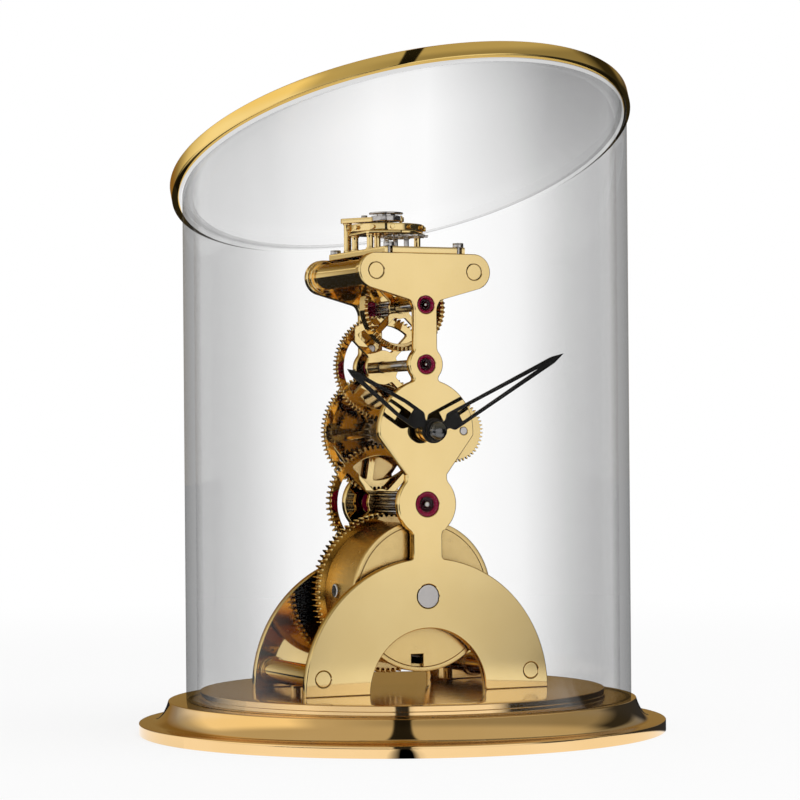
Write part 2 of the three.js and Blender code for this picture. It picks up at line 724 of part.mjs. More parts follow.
const onClick = ([along, across]) => [
  along * clickWay[0] + across * clickSide[0],
  along * clickWay[1] + across * clickSide[1],
];
const clickOutline = [
  ...arc(clickEye, THREE.MathUtils.degToRad(50), THREE.MathUtils.degToRad(310), 8),
  [clickReach * 0.7, -0.2], [clickReach, 0], [clickReach * 0.9, 1.3],
].map(onClick);
const clickFront = rearPlateFace + shake;
const clickBack = clickFront + clickThickness;
add('click', 'steel', upright(
  clickOutline, [circle(clickScrewShank + running, 8)], clickFront, clickBack, ...clickPivot));
add('click_screw', 'steel', arbor([
  [0, rearInner], [clickScrewShank, rearInner], [clickScrewShank, clickBack + shake],
  [clickScrewHead, clickBack + shake], [clickScrewHead, clickBack + shake + 1], [0, clickBack + shake + 1],
], 8, ...clickPivot));
const leaf = [
  [-clickReach * 1.6, 2.6], [-clickReach * 1.6, 5.2], [-clickReach * 1.2, 5.2], [-clickReach * 0.9, 4.3],
  [clickReach * 0.85, 2.1], [clickReach * 0.85, 1.6], [-clickReach, 3.4], [-clickReach * 1.1, 2.6],
].map(onClick);
add('click_spring', 'steel', upright(leaf, [], rearPlateFace, clickBack, ...clickPivot));

// An arbor between two jewels, slimmer from the front of its pinion on, down to its rear pivot
function pinionArbor(leaves, pitchRadius, phase, front, back, core, shoulder, z) {
  const rodPart = arbor([
    [0, frontPlateFace], [pivot, frontPlateFace], [pivot, frontInner + shake],
    [arborRadius, frontInner + shake], [arborRadius, front], [core, front],
    [core, shoulder], [pivot, shoulder], [pivot, rearPlateFace], [0, rearPlateFace],
  ], 12, 0, z);
  const leafPart = upright(teeth(leaves, pitchRadius, phase, pinionForm), [], front, back, 0, z);
  return join(rodPart, leafPart);
}

// A crossed wheel on such an arbor
function crossedWheel(count, pitchRadius, bore, hub, spokes, front, z) {
  const rim = rootOf(count, pitchRadius, wheelForm) - wheelRim;
  const holes = [circle(bore, 12), ...crossings(spokes, hub, rim, spokeWidth, up / 2)];
  return upright(teeth(count, pitchRadius, 0, wheelForm), holes, front, front + wheelThickness, 0, z);
}

add('intermediate_pinion', 'steel', pinionArbor(
  intermediateLeaves, intermediateLeafPitch, intermediateLeafPhase,
  frontInner + intermediateLeafRoom, intermediateFace, stoutArbor,
  intermediateFace + wheelThickness + shake, intermediateHeight));
add('intermediate_wheel', 'gold', crossedWheel(
  intermediateTeeth, intermediatePitch, stoutArbor + seat, 4.5, 4, intermediateFace, intermediateHeight));

const centreBack = centreFace + wheelThickness;
const centreLeafFront = thirdFace + wheelThickness + shake;
const minuteHubBack = minuteHandFace + handThickness + 0.4;
const minuteHubFront = minuteHandFace - 0.3;
const nutFront = minuteHubFront - nutLength;
const cannonBack = minuteFace + thinWheel + 0.4;
const cannonFront = cannonBack - cannonLength;
const centreRod = arbor([
  [0, nutFront + 1.5], [centreFrontArbor, nutFront + 1.5], [centreFrontArbor, cannonBack],
  [slimArbor, cannonBack], [slimArbor, centreLeafFront], [arborRadius, centreLeafFront],
  [arborRadius, rearInner - shake], [pivot, rearInner - shake],
  [pivot, rearPlateFace], [0, rearPlateFace],
], 12, 0, centreHeight);
add('centre_pinion', 'steel', join(centreRod, upright(
  teeth(centreLeaves, centreLeafPitch, centreLeafPhase, pinionForm), [],
  centreLeafFront, centreFace, 0, centreHeight)));
add('centre_wheel', 'gold', crossedWheel(
  centreTeeth, centrePitch, arborRadius + seat, 4.5, 5, centreFace, centreHeight));

add('third_pinion', 'steel', pinionArbor(
  thirdLeaves, thirdLeafPitch, thirdLeafPhase,
  thirdFace + wheelThickness, rearInner - shake, slimArbor, rearInner - shake, thirdHeight));
add('third_wheel', 'gold', crossedWheel(
  thirdTeeth, thirdPitch, arborRadius + seat, 5.6, 4, thirdFace, thirdHeight));

// Contrate wheel: its teeth stand out from its rim towards the front and turn the upright escape pinion
const contrateMean = contrateRadius - contrateRimWidth / 2;
const contrateRoot = contrateFace + contrateToothDepth;
const contrateWeb = contrateRoot + contrateRimDepth;
const contrateStep = (2 * Math.PI * contrateMean) / contrateTeeth;

// A crown of pointed teeth on a plain rim; two columns of points for each tooth, inside and outside
function crownRim(inner, outer) {
  const columns = 2 * contrateTeeth;
  const points = [];
  const faces = [];
  for (let i = 0; i < columns; i += 1) {
    const a = up + (Math.PI * i) / contrateTeeth;
    const front = i % 2 === 0 ? contrateFace : contrateRoot;
    for (const [r, y] of [[inner, front], [outer, front], [outer, contrateWeb], [inner, contrateWeb]]) {
      points.push(r * Math.cos(a), y, contrateHeight + r * Math.sin(a));
    }
    for (let k = 0; k < 4; k += 1) {
      const [p, q] = [4 * i + k, 4 * i + ((k + 1) % 4)];
      const [t, u] = [4 * ((i + 1) % columns) + k, 4 * ((i + 1) % columns) + ((k + 1) % 4)];
      faces.push(p, q, t, q, u, t);
    }
  }
  const g = new THREE.BufferGeometry();
  g.setAttribute('position', new THREE.Float32BufferAttribute(points, 3));
  g.setIndex(faces);
  return clean(g);
}
const contrateDisc = upright(
  circle(contrateRadius - contrateRimWidth / 2, 24),
  [circle(arborRadius + seat, 12), ...crossings(4, 3.6, contrateRadius - 2.4, 2, up / 2)],
  contrateWeb - 0.2, contrateWeb - 0.2 + thinWheel, 0, contrateHeight);
add('contrate_wheel', 'gold', join(
  crownRim(contrateRadius - contrateRimWidth, contrateRadius), contrateDisc));
add('contrate_pinion', 'steel', pinionArbor(
  contrateLeaves, contrateLeafPitch, contrateLeafPhase,
  contrateWeb + contrateLeafRoom, thirdFace + wheelThickness + shake, slimArbor, rearInner - shake,
  contrateHeight));

// Motion work: cannon pinion on the centre arbor, minute wheel on its stud, hour wheel with its pipe
add('cannon_pinion', 'steel', join(
  arbor(ring(centreFrontArbor + seat, cannonPipe, minuteHubFront, cannonBack), 12, 0, centreHeight),
  upright(teeth(cannonTeeth, cannonPitch, 0, pinionForm), [circle(centreFrontArbor + seat, 12)],
    cannonFront, cannonBack, 0, centreHeight)));
const minuteBore = minuteStudRadius + running;
const minuteLeafFront = hourFace - 0.1;
add('minute_wheel', 'gold', join(
  upright(teeth(minuteTeeth, minutePitch, minutePhase, wheelForm), [circle(minuteBore, 10)],
    minuteFace, minuteFace + thinWheel, minuteStudX, centreHeight),
  upright(teeth(minuteLeaves, minuteLeafPitch, 0, pinionForm), [circle(minuteBore, 10)],
    minuteLeafFront, minuteFace, minuteStudX, centreHeight)));
add('minute_stud', 'steel', arbor([
  [0, frontPlateFace], [minuteStudRadius, frontPlateFace], [minuteStudRadius, minuteFace + thinWheel + shake],
  [minuteStudRadius + 0.7, minuteFace + thinWheel + shake],
  [minuteStudRadius + 0.7, minuteFace + thinWheel + shake + 0.6], [0, minuteFace + thinWheel + shake + 0.6],
], 12, minuteStudX, centreHeight));
const hourHubFront = hourHandFace - 0.3;
const hourHubBack = hourHandFace + handThickness + 0.3;
const hourBore = cannonPipe + running;
add('hour_wheel', 'gold', join(
  arbor(ring(hourBore, hourPipe, hourHubFront, hourFace + thinWheel), 12, 0, centreHeight),
  upright(teeth(hourTeeth, hourPitch, hourPhase, wheelForm), [circle(hourBore, 12)],
    hourFace, hourFace + thinWheel, 0, centreHeight)));

// Hands: two bars that run together into a leaf, on a round hub
function hand(hub, bore, length, half, shoulder, leafLength, degrees) {
  const slotEnd = length - leafLength;
  const neckAngle = Math.asin(handNeck / hub);
  const tail = [
    [handFlare - handNeck, -handNeck], [handFlare, -half], [shoulder, -half],
    [slotEnd, -leafHalf], [slotEnd + leafLength * 0.6, -leafHalf * 0.8], [length, 0],
  ];
  const outline = [
    ...arc(hub, neckAngle, 2 * Math.PI - neckAngle, 10), ...tail,
    ...tail.slice(0, -1).map(([x, y]) => [x, -y]).reverse(),
  ];
  const closed = Math.max(0, handBlock - shoulder) / (slotEnd - shoulder); // how far the bars have closed
  const slotHalf = half - handBar - closed * (half - leafHalf);
  const slotSide = [[handBlock, -slotHalf], [slotEnd, -handSlotEnd]];
  if (shoulder > handBlock) slotSide.splice(1, 0, [shoulder, -slotHalf]);
  const slot = [...slotSide, ...slotSide.map(([x, y]) => [x, -y]).reverse()];
  const turn = THREE.MathUtils.degToRad(90 - degrees);
  const turnLoop = (loop) => loop.map(([x, y]) => [
    x * Math.cos(turn) - y * Math.sin(turn), x * Math.sin(turn) + y * Math.cos(turn),
  ]);
  return { outline: turnLoop(outline), holes: [circle(bore, 12), turnLoop(slot)] };
}
const hourShape = hand(
  hourHub, hourPipe + seat, hourHandLength, hourSpread, hourShoulder, hourLeafLength, hourHandAngle);
add('hour_hand', 'black', join(
  upright(hourShape.outline, hourShape.holes, hourHandFace, hourHandFace + handThickness, 0, centreHeight),
  arbor(ring(hourPipe + seat, hourHub - 0.3, hourHubFront, hourHubBack), 12, 0, centreHeight)));
const minuteShape = hand(
  minuteHub, cannonPipe + seat, minuteHandLength, minuteSpread, minuteShoulder, minuteLeafLength,
  minuteHandAngle);
add('minute_hand', 'black', join(
  upright(minuteShape.outline, minuteShape.holes,
    minuteHandFace, minuteHandFace + handThickness, 0, centreHeight),
  arbor(ring(cannonPipe + seat, minuteHub - 0.3, minuteHubFront, minuteHubBack), 12, 0, centreHeight)));
const dome = Array.from({ length: 5 }, (_, i) => {
  const a = (up * i) / 4;
  return [nutRadius * 0.94 * Math.sin(a), nutFront + 1.4 - 1.4 * Math.cos(a)];
});
add('hand_nut', 'black', arbor([
  ...dome, [nutRadius * 0.94, minuteHubFront - 0.9], [nutRadius, minuteHubFront - 0.8],
  [nutRadius, minuteHubFront], [centreFrontArbor + seat, minuteHubFront],
  [centreFrontArbor + seat, nutFront + 1.4], [0, nutFront + 1.4],
], 12, 0, centreHeight));

// Platform: lies across the tops of both plates, held by screws in open slots
const screwSlot = (side, y, way) => {
  const half = screwShank + running;
  const g = new THREE.BoxGeometry(2 * half, 2 * screwSlotReach, 4 * platformThickness);
  g.translate(side * platformScrewX, y + way * (screwSlotReach - half), platformTop);
  return g;
};
const platformBlank = level([
  [-platformHalfWidth, platformFront], [platformHalfWidth, platformFront],
  [platformHalfWidth, platformBack], [-platformHalfWidth, platformBack],
], [
  circle(staffRadius + running, 12, 0, escapeY), circle(finePivot + running, 8, 0, leverY),
  circle(finePivot + running, 8, 0, balanceY),
], plateTop, platformTop);
add('platform_plate', 'gold', cut(
  platformBlank,
  screwSlot(-1, frontScrewY, -1), screwSlot(1, frontScrewY, -1),
  screwSlot(-1, rearScrewY, 1), screwSlot(1, rearScrewY, 1)));
for (const [side, word] of [[-1, 'left'], [1, 'right']]) {
  for (const [y, end] of [[frontScrewY, 'front'], [rearScrewY, 'rear']]) {
    const headTop = platformTop + screwHeadHeight;
    const head = turned([
      [0, plateTop - screwDepth], [screwShank, plateTop - screwDepth], [screwShank, platformTop],
      [screwHead, platformTop], [screwHead, headTop], [0, headTop],
    ], 12, side * platformScrewX, y);
    const slot = new THREE.BoxGeometry(3 * screwHead, 0.45, 0.9);
    slot.rotateZ(side * 0.6);
    slot.translate(side * platformScrewX, y, headTop);
    add(`platform_screw_${end}_${word}`, 'steel', cut(head, slot));
  }
}

// Escapement plate on its posts, above the escape wheel and the lever
const posts = postPlaces.map(([x, y]) => [x, balanceY + y]);
const post = ([x, y]) => turned([
  [0, platformTop], [postFlange, platformTop], [postFlange, platformTop + postFlangeHeight],
  [postRadius, platformTop + postFlangeHeight], [postRadius, escapementPlateLow + escapementPlate / 2],
  [0, escapementPlateLow + escapementPlate / 2],
], 8, x, y);
const edge = postFlange + postMargin;
const bridgeLeft = Math.min(...posts.map(([x]) => x)) - edge;
const bridgeRight = Math.max(...posts.map(([x]) => x)) + edge;
const bridgeBack = balanceY + rollerRadius + edge;
const bridge = level([
  [bridgeLeft, posts[0][1] - edge], [-edge, escapeY - edge], [edge, escapeY - edge],
  [bridgeRight, posts[2][1] - edge], [bridgeRight, bridgeBack], [bridgeLeft, bridgeBack],
], [
  circle(finePivot + running, 8, 0, escapeY), circle(finePivot + running, 8, 0, leverY),
  circle(rollerRadius + running, 16, 0, balanceY),
], escapementPlateLow, escapementPlateHigh);
add('escapement_plate', 'gold', join(bridge, ...posts.map(post)));

// Escape wheel, its pinion, and the lever that locks it
const escapeLow = platformTop + escapeWheelLift;
const escapeHigh = escapeLow + escapeWheelThickness;
const escapeRim = 0.62; // inside of the rim, and
const escapeRoot = 0.76; // the teeth's roots, as shares of the radius
const clubs = Array.from({ length: escapeTeeth }, (_, i) => {
  const step = (2 * Math.PI) / escapeTeeth;
  return [[escapeRoot, 0], [1, 0.5], [1, 0.64], [escapeRoot, 0.5]].map(([r, f]) => [
    escapeRadius * r * Math.cos((i + f) * step), escapeRadius * r * Math.sin((i + f) * step),
  ]);
}).flat();
const escapeHub = 2 * staffRadius;
add('escape_wheel', 'steel', level(
  clubs, [circle(staffRadius + seat, 12), ...crossings(4, escapeHub, escapeRadius * escapeRim, staffRadius)],
  escapeLow, escapeHigh, 0, escapeY));
const escapeLeafPitch = (contrateStep * escapeLeaves) / (2 * Math.PI);
const escapeLeafLow = contrateHeight + contrateRadius - contrateRimWidth - escapeLeafOverhang;
const escapeLeafHigh = plateTop - escapeLeafOverhang;
const escapePhase = up + Math.PI / escapeLeaves;
const escapeTop = escapementPlateLow - shake;
add('escape_pinion', 'steel', join(
  turned([
    [0, escapeLeafLow - escapeLeafOverhang], [finePivot, escapeLeafLow - escapeLeafOverhang],
    [finePivot, escapeLeafLow], [staffRadius, escapeLeafLow], [staffRadius, escapeTop],
    [finePivot, escapeTop], [finePivot, escapementPlateHigh], [0, escapementPlateHigh],
  ], 12, 0, escapeY),
  level(teeth(escapeLeaves, escapeLeafPitch, escapePhase, escapeForm), [],
    escapeLeafLow, escapeLeafHigh, 0, escapeY)));

// The lever: two arms that end in the pallets, and a stem that ends in the fork, in its own x and y
const palletRadius = escapeRadius + leverSwingRoom;
const palletAngle = THREE.MathUtils.degToRad(30);
const palletX = palletRadius * Math.sin(palletAngle);
const palletY = escapeY + palletRadius * Math.cos(palletAngle) - leverY;
const forkY = balanceY - leverY - staffRadius - leverBar;
const leverRight = [
  [palletX, palletY], [palletX + leverBar, palletY + leverBar / 2],
  [palletX + leverBar / 2, palletY + 2 * leverBar], [1.4 * leverBar, leverBar],
  [leverBar * 0.75, 1.6 * leverBar], [leverBar * 0.65, forkY - leverBar], [1.2 * leverBar, forkY],
  [leverBar * 0.55, forkY], [leverBar * 0.4, forkY - leverBar],
];
const leverOutline = [
  ...leverRight, ...leverRight.map(([x, y]) => [-x, y]).reverse(),
  [-palletX + leverBar / 2, palletY + leverBar / 2], [-1.2 * leverBar, -leverBar],
  [1.2 * leverBar, -leverBar], [palletX - leverBar / 2, palletY + leverBar / 2],
];
add('pallet_lever', 'steel', join(
  level(leverOutline, [], escapeLow, escapeHigh, 0, leverY),
  turned([
    [0, plateTop + shake], [finePivot, plateTop + shake], [finePivot, platformTop + shake],
    [staffRadius, platformTop + shake], [staffRadius, escapeTop], [finePivot, escapeTop],
    [finePivot, escapementPlateHigh], [0, escapementPlateHigh],
  ], 8, 0, leverY)));

// Balance: a thick rim with timing screws, its staff with the roller, and the hairspring inside the rim
const armLow = balanceLow + balanceArmLift;
const armHigh = armLow + balanceArm;
const balanceInner = balanceRadius - balanceRimWidth;
const balanceBite = balanceRimWidth / 4;
const balanceRim = turned(
  ring(balanceInner, balanceRadius, balanceLow, balanceLow + balanceRimHeight), 28, 0, balanceY);
const armReach = balanceInner + balanceBite;
const balanceSpoke = level([
  [-armReach, -balanceArm], [armReach, -balanceArm], [armReach, balanceArm], [-armReach, balanceArm],
], [], armLow, armHigh, 0, balanceY);
const balanceHub = turned(rod(rollerRadius, armLow, armHigh), 12, 0, balanceY);
const balanceHole = turned(rod(staffRadius + seat, balanceLow - shake, cockTop), 12, 0, balanceY);
const timingScrews = Array.from({ length: balanceScrews }, (_, i) => {
  const g = arbor(rod(balanceScrewHead, balanceRadius - balanceBite, balanceRadius + balanceScrewProud), 6);
  g.rotateZ((2 * Math.PI * (i + 0.5)) / balanceScrews);
  g.translate(0, balanceY, balanceLow + balanceRimHeight / 2);
  return g;
});
add('balance_wheel', 'gold', cut(join(balanceRim, balanceSpoke, balanceHub, ...timingScrews), balanceHole));
const rollerLow = escapeHigh + shake;
const rollerHigh = rollerLow + rollerThickness;
add('balance_staff', 'steel', turned([
  [0, plateTop + shake], [finePivot, plateTop + shake], [finePivot, platformTop + shake],
  [staffRadius, platformTop + shake], [staffRadius, rollerLow], [rollerRadius, rollerLow],
  [rollerRadius, rollerHigh], [staffRadius, rollerHigh], [staffRadius, cockLow - shake],
  [finePivot, cockLow - shake], [finePivot, cockTop - shake], [0, cockTop - shake],
], 12, 0, balanceY));
const hairspring = spiral(hairspringInner, hairspringPitch, hairspringTurns, hairspringStrip, 16);
console.log(`hairspring: least gap between turns ${hairspring.least.toFixed(2)} mm`);
const springLow = armHigh + shake;
add('hairspring', 'steel', level(hairspring.loop, [], springLow, springLow + hairspringHeight, 0, balanceY));

// Cock: a post beside the balance and an arm over it; the stud holds the hairspring's outer end
const cockReach = balanceRadius + balanceScrewProud + cockPostRoom + cockPostRadius;
const cockPost = [cockReach * Math.cos(cockDirection), balanceY + cockReach * Math.sin(cockDirection)];
const cockArm = level([
  ...arc(cockEyeRadius, Math.asin(cockArmWidth / 2 / cockEyeRadius),
    2 * Math.PI - Math.asin(cockArmWidth / 2 / cockEyeRadius), 14),
  ...arc(cockArmWidth / 2, -up, up, 8, cockReach),
], [], cockLow, cockTop);
cockArm.rotateZ(cockDirection);
cockArm.translate(0, balanceY, 0);
const studPlace = hairspringInner + hairspringPitch * hairspringTurns
  + hairspringStrip / 2 + seat + springStudRadius;
const springStud = turned(
  rod(springStudRadius, springLow, regulatorLow - shake), 8, studPlace, balanceY);
const studArm = level([
  [0, -2 * springStudRadius], [studPlace, -2 * springStudRadius], [studPlace, 2 * springStudRadius],
  [0, 2 * springStudRadius],
], [], cockLow, cockTop, 0, balanceY);
const cockColumn = turned([
  [0, platformTop], [cockCollar, platformTop], [cockCollar, platformTop + cockCollar],
  [cockPostRadius, platformTop + cockCollar], [cockPostRadius, cockTop], [0, cockTop],
], 12, ...cockPost);
const cockScrewPlace = [
  cockScrewShare * cockPost[0], balanceY + cockScrewShare * (cockPost[1] - balanceY),
];
const cockBore = turned(rod(finePivot + running, cockLow - shake, cockTop + shake), 8, 0, balanceY);
const cockScrewBore = turned(rod(finePivot + seat, cockLow - shake, cockTop + shake), 8, ...cockScrewPlace);
add('balance_cock', 'gold', cut(join(cockColumn, cockArm, studArm, springStud), cockBore, cockScrewBore));
add('cock_screw', 'steel', turned([
  [0, cockLow], [finePivot, cockLow], [finePivot, cockTop], [cockScrewHead, cockTop],
  [cockScrewHead, cockTop + cockScrewHeight], [0, cockTop + cockScrewHeight],
], 8, ...cockScrewPlace));
const tab = level([
  [0, -regulatorTab], [regulatorRadius + regulatorTab, -regulatorTab / 2],
  [regulatorRadius + regulatorTab, regulatorTab / 2], [0, regulatorTab],
], [], regulatorLow, regulatorTop);
tab.rotateZ(cockDirection - up);
tab.translate(0, balanceY, 0);
add('regulator_index', 'steel', join(
  turned([
    [0, cockTop], [regulatorHub, cockTop], [regulatorHub, regulatorLow], [regulatorRadius, regulatorLow],
    [regulatorRadius, regulatorTop], [0, regulatorTop],
  ], 20, 0, balanceY), tab));

export default group;
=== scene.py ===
# %% [markdown]
# A skeleton table clock stands under a glass cover, so nearly everything that shows is polished
# gilt brass mirroring its neighbours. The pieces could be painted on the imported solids, but a
# mirror shows every flat and sharp corner. So each piece is made again here, at the same place
# and size, with fine curves and small broken edges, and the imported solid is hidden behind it.

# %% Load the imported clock
import json
from math import acos, asin, cos, degrees, hypot, pi, radians, sin, sqrt, tan
import bmesh
import bpy
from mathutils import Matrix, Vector
from mathutils.geometry import tessellate_polygon


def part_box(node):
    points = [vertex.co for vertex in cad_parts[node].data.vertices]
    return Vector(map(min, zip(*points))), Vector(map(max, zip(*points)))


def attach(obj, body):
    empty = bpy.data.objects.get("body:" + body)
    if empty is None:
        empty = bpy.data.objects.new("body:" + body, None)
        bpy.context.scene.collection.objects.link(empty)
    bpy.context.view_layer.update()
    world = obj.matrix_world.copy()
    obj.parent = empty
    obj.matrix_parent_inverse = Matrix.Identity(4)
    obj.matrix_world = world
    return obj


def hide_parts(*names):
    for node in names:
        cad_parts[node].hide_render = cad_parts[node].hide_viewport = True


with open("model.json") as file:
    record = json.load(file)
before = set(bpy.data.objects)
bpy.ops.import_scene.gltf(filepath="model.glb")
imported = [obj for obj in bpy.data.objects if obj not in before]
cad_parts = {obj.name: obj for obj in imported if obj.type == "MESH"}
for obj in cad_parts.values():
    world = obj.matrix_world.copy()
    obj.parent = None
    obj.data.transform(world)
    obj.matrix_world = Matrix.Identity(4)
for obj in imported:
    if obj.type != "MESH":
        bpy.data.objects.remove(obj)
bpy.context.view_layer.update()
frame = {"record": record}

# %% [markdown]
# The clock maker's sizes are in millimetres and Blender works in metres. Every place is read from
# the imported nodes, so this page measures a node's box first: its six sides, its middle, and its
# half width.

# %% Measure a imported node
MM = 0.001


class Box:
    def __init__(self, node):
        low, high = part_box(node)
        self.left, self.front, self.foot = [value / MM for value in low]
        self.right, self.back, self.top = [value / MM for value in high]
        self.x = (self.left + self.right) / 2
        self.y = (self.front + self.back) / 2
        self.z = (self.foot + self.top) / 2
        self.half = (self.right - self.left) / 2


base = Box("base_plinth")
print("base radius", round(base.half, 2), "height", round(base.top, 2))

# %% [markdown]
# Turned work is a profile swung round an axis. The corners of a turned brass piece are broken
# with a file, and that thin round is what catches the light, so a helper rounds each corner of a
# profile first. The axis is upright for the base and level for arbors, pillars and jewels.

# %% Turn a profile
tiny, most_cut = 1e-6, 0.45


def apart(one, two):
    return hypot(two[0] - one[0], two[1] - one[1])


def between(one, two, share):
    return tuple(a + (b - a) * share for a, b in zip(one, two))


def bend(start, corner, end, steps):
    """Points of a smooth bend from start to end, drawn towards the corner."""
    made = []
    for step in range(steps + 1):
        t = step / steps
        made.append(tuple((1 - t) ** 2 * a + 2 * t * (1 - t) * c + t * t * b
                          for a, c, b in zip(start, corner, end)))
    return made


def rounded(points, radius, closed=False, steps=4):
    made = []
    count = len(points)
    for place, corner in enumerate(points):
        before, after = points[place - 1], points[(place + 1) % count]
        reach_in, reach_out = apart(corner, before), apart(corner, after)
        cut = min(radius, most_cut * reach_in, most_cut * reach_out)
        if cut < tiny or (not closed and place in (0, count - 1)):
            made.append(corner)
            continue
        start = between(corner, before, cut / reach_in)
        made += bend(start, corner, between(corner, after, cut / reach_out), steps)
    return made


def stepped(start, *turns):
    """A rod's profile from its start: each turn has a radius and the place where it ends."""
    profile = [(0, start)]
    for radius, end in turns:
        profile += [(radius, start), (radius, end)]
        start = end
    return profile + [(0, start)]


def pipe(inner, outer, low, high):
    """The closed profile of a plain ring, pipe or bar."""
    return [(inner, low), (outer, low), (outer, high), (inner, high)]


def round_loop(x, y, radius, steps=64):
    turns = [2 * pi * step / steps for step in range(steps)]
    return [(x + radius * cos(t), y + radius * sin(t)) for t in turns]


def turned(profile, centre, axis="z", steps=96, closed=False, edge=0.0, bends=4):
    """A profile of (radius, place along the axis), swung round an axis through centre."""
    if edge:
        profile = rounded(profile, edge, closed, bends)
    for _ in range(2):
        profile = profile[::-1]
        (first, start), (second, next_start) = profile[:2]
        if first < tiny and abs(start - next_start) < tiny:
            profile = [profile[0], (second * 0.9, start)] + profile[1:]
    points, faces, rings = [], [], []
    for radius, level in profile:
        count = 1 if radius < tiny else steps
        rings.append(range(len(points), len(points) + count))
        for u, v in round_loop(centre[0], centre[1], radius, steps)[:count]:
            points.append((u, v, level) if axis == "z" else (u, level, v))
    last = rings[:1] if closed else []
    for one, two in zip(rings, rings[1:] + last):
        if len(one) == len(two) == 1:
            continue
        for step in range(steps):
            after = (step + 1) % steps
            face = [one[step % len(one)], one[after % len(one)]]
            face += [two[after % len(two)], two[step % len(two)]]
            faces.append(list(dict.fromkeys(face)))
    return points, faces


print("a test turning has", len(turned(stepped(0, (5, 2)), (0, 0))[1]), "faces")

# %% [markdown]
# Plates, wheels, springs and hands are sawn from sheet. Each is an outline with holes, given a
# thickness, and its edges are broken with a small bevel. The outline moves inwards by the bevel at
# both faces, and the faces are filled with triangles that leave the holes open.

# %% Saw a shape from sheet
def area(loop):
    return sum(a[0] * b[1] - b[0] * a[1] for a, b in zip(loop, loop[1:] + loop[:1])) / 2


def moved_in(loop, distance, sharpest=0.45):
    made = []
    for place, point in enumerate(loop):
        before, after = loop[place - 1], loop[(place + 1) % len(loop)]
        one = Vector((point[0] - before[0], point[1] - before[1])).normalized()
        two = Vector((after[0] - point[0], after[1] - point[1])).normalized()
        across = Vector((-one.y - two.y, one.x + two.x))
        if across.length < tiny:
            made.append(point)
            continue
        across.normalize()
        share = max(sharpest, across.dot(Vector((-one.y, one.x))))
        made.append((point[0] + across.x * distance / share, point[1] + across.y * distance / share))
    return made


def sawn(outline, holes, low, high, bevel=0.15, face="front", rounds=2):
    """Sheet between two levels: face front lies in x and z, face top lies in x and y."""
    loops = [outline if area(outline) > 0 else outline[::-1]]
    loops += [hole if area(hole) < 0 else hole[::-1] for hole in holes]
    turns = [step / rounds * pi / 2 for step in range(rounds + 1)]
    levels = [(bevel * (1 - sin(t)), low + bevel * (1 - cos(t))) for t in turns]
    levels += [(bevel * (1 - sin(t)), high - bevel * (1 - cos(t))) for t in reversed(turns)]
    points, faces = [], []
    ends = {0: [], len(levels) - 1: []}
    flat = {0: [], len(levels) - 1: []}
    for loop in loops:
        rings = []
        for place, (inset, level) in enumerate(levels):
            ring = list(range(len(points), len(points) + len(loop)))
            shape = moved_in(loop, inset)
            points += [(u, level, v) if face == "front" else (u, v, level) for u, v in shape]
            rings.append(ring)
            if place in ends:
                ends[place] += ring
                flat[place].append([Vector((u, v, 0)) for u, v in shape])
        for one, two in zip(rings, rings[1:]):
            for step in range(len(loop)):
                after = (step + 1) % len(loop)
                faces.append([one[step], one[after], two[after], two[step]])
    for place in ends:
        for corners in tessellate_polygon(flat[place]):
            faces.append([ends[place][corner] for corner in corners])
    return points, faces


def bow(x, y, radius, start, end, steps=24):
    """Points of an arc, with its angles in degrees."""
    turns = [radians(start + (end - start) * step / steps) for step in range(steps + 1)]
    return [(x + radius * cos(t), y + radius * sin(t)) for t in turns]


def swung(points, angle, x=0.0, y=0.0):
    """Points turned by an angle about nought, and then moved."""
    c, s = cos(angle), sin(angle)
    return [(x + u * c - v * s, y + u * s + v * c) for u, v in points]


def mirrored(points):
    """The other half of an even outline, walked back."""
    return [(-u, v) for u, v in reversed(points)]


def wrapped(columns):
    """A ring of columns joined side to side, each column a closed loop of points."""
    faces = []
    many, tall = len(columns), len(columns[0])
    for k in range(many):
        after = (k + 1) % many
        for side in range(tall):
            n = (side + 1) % tall
            faces.append([tall * k + side, tall * k + n, tall * after + n, tall * after + side])
    return [point for column in columns for point in column], faces


print("a test sheet has", len(sawn(round_loop(0, 0, 5), [round_loop(0, 0, 2)], 0, 1)[1]), "faces")

# %% [markdown]
# Each finished piece has to move with its body in the frame, take the finish of its slot unless it has its
# own, and hide the imported node that it stands for. Two helpers do that, because a few pieces have no packed
# node. Every piece is shaded smooth except across real corners.

# %% Put a piece in a node's place
record = frame["record"]
body_of = {node: body for body, nodes in record["behaviour"]["bodies"].items() for node in nodes}
slot_of = {row["node"]: row["material_slot"] for row in record["subparts"]}
finish_of_slot = {}
corner_bend = radians(32)
cap_bend = 0.15  # a sheet's flat face, of triangles, is not blended with its bevel, of quads


def mesh_piece(name, parts, finish):
    shape = bmesh.new()
    for points, faces in parts:
        made = [shape.verts.new([value * MM for value in point]) for point in points]
        for face in faces:
            try:
                shape.faces.new([made[place] for place in face])
            except ValueError:  # the same triangle twice
                pass
    bmesh.ops.recalc_face_normals(shape, faces=shape.faces)
    for face in shape.faces:
        face.smooth = True
    for edge in shape.edges:
        at_cap = len({len(face.verts) for face in edge.link_faces}) == 2
        edge.smooth = edge.calc_face_angle(0) < (cap_bend if at_cap else corner_bend)
    mesh = bpy.data.meshes.new(name)
    shape.to_mesh(mesh)
    shape.free()
    mesh.materials.append(finish)
    piece = bpy.data.objects.new(name, mesh)
    bpy.context.scene.collection.objects.link(piece)
    return piece


def added(name, parts, body, slot, finish=None):
    """A piece on a body, in its slot's finish unless it has its own."""
    piece = mesh_piece(name, parts, finish or finish_of_slot[slot])
    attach(piece, body)
    print(name, len(piece.data.polygons), "faces")
    return piece


def stand_in(node, parts, finish=None):
    """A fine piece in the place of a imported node."""
    piece = added(node + ".fine", parts, body_of[node], slot_of[node], finish)
    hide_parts(node)


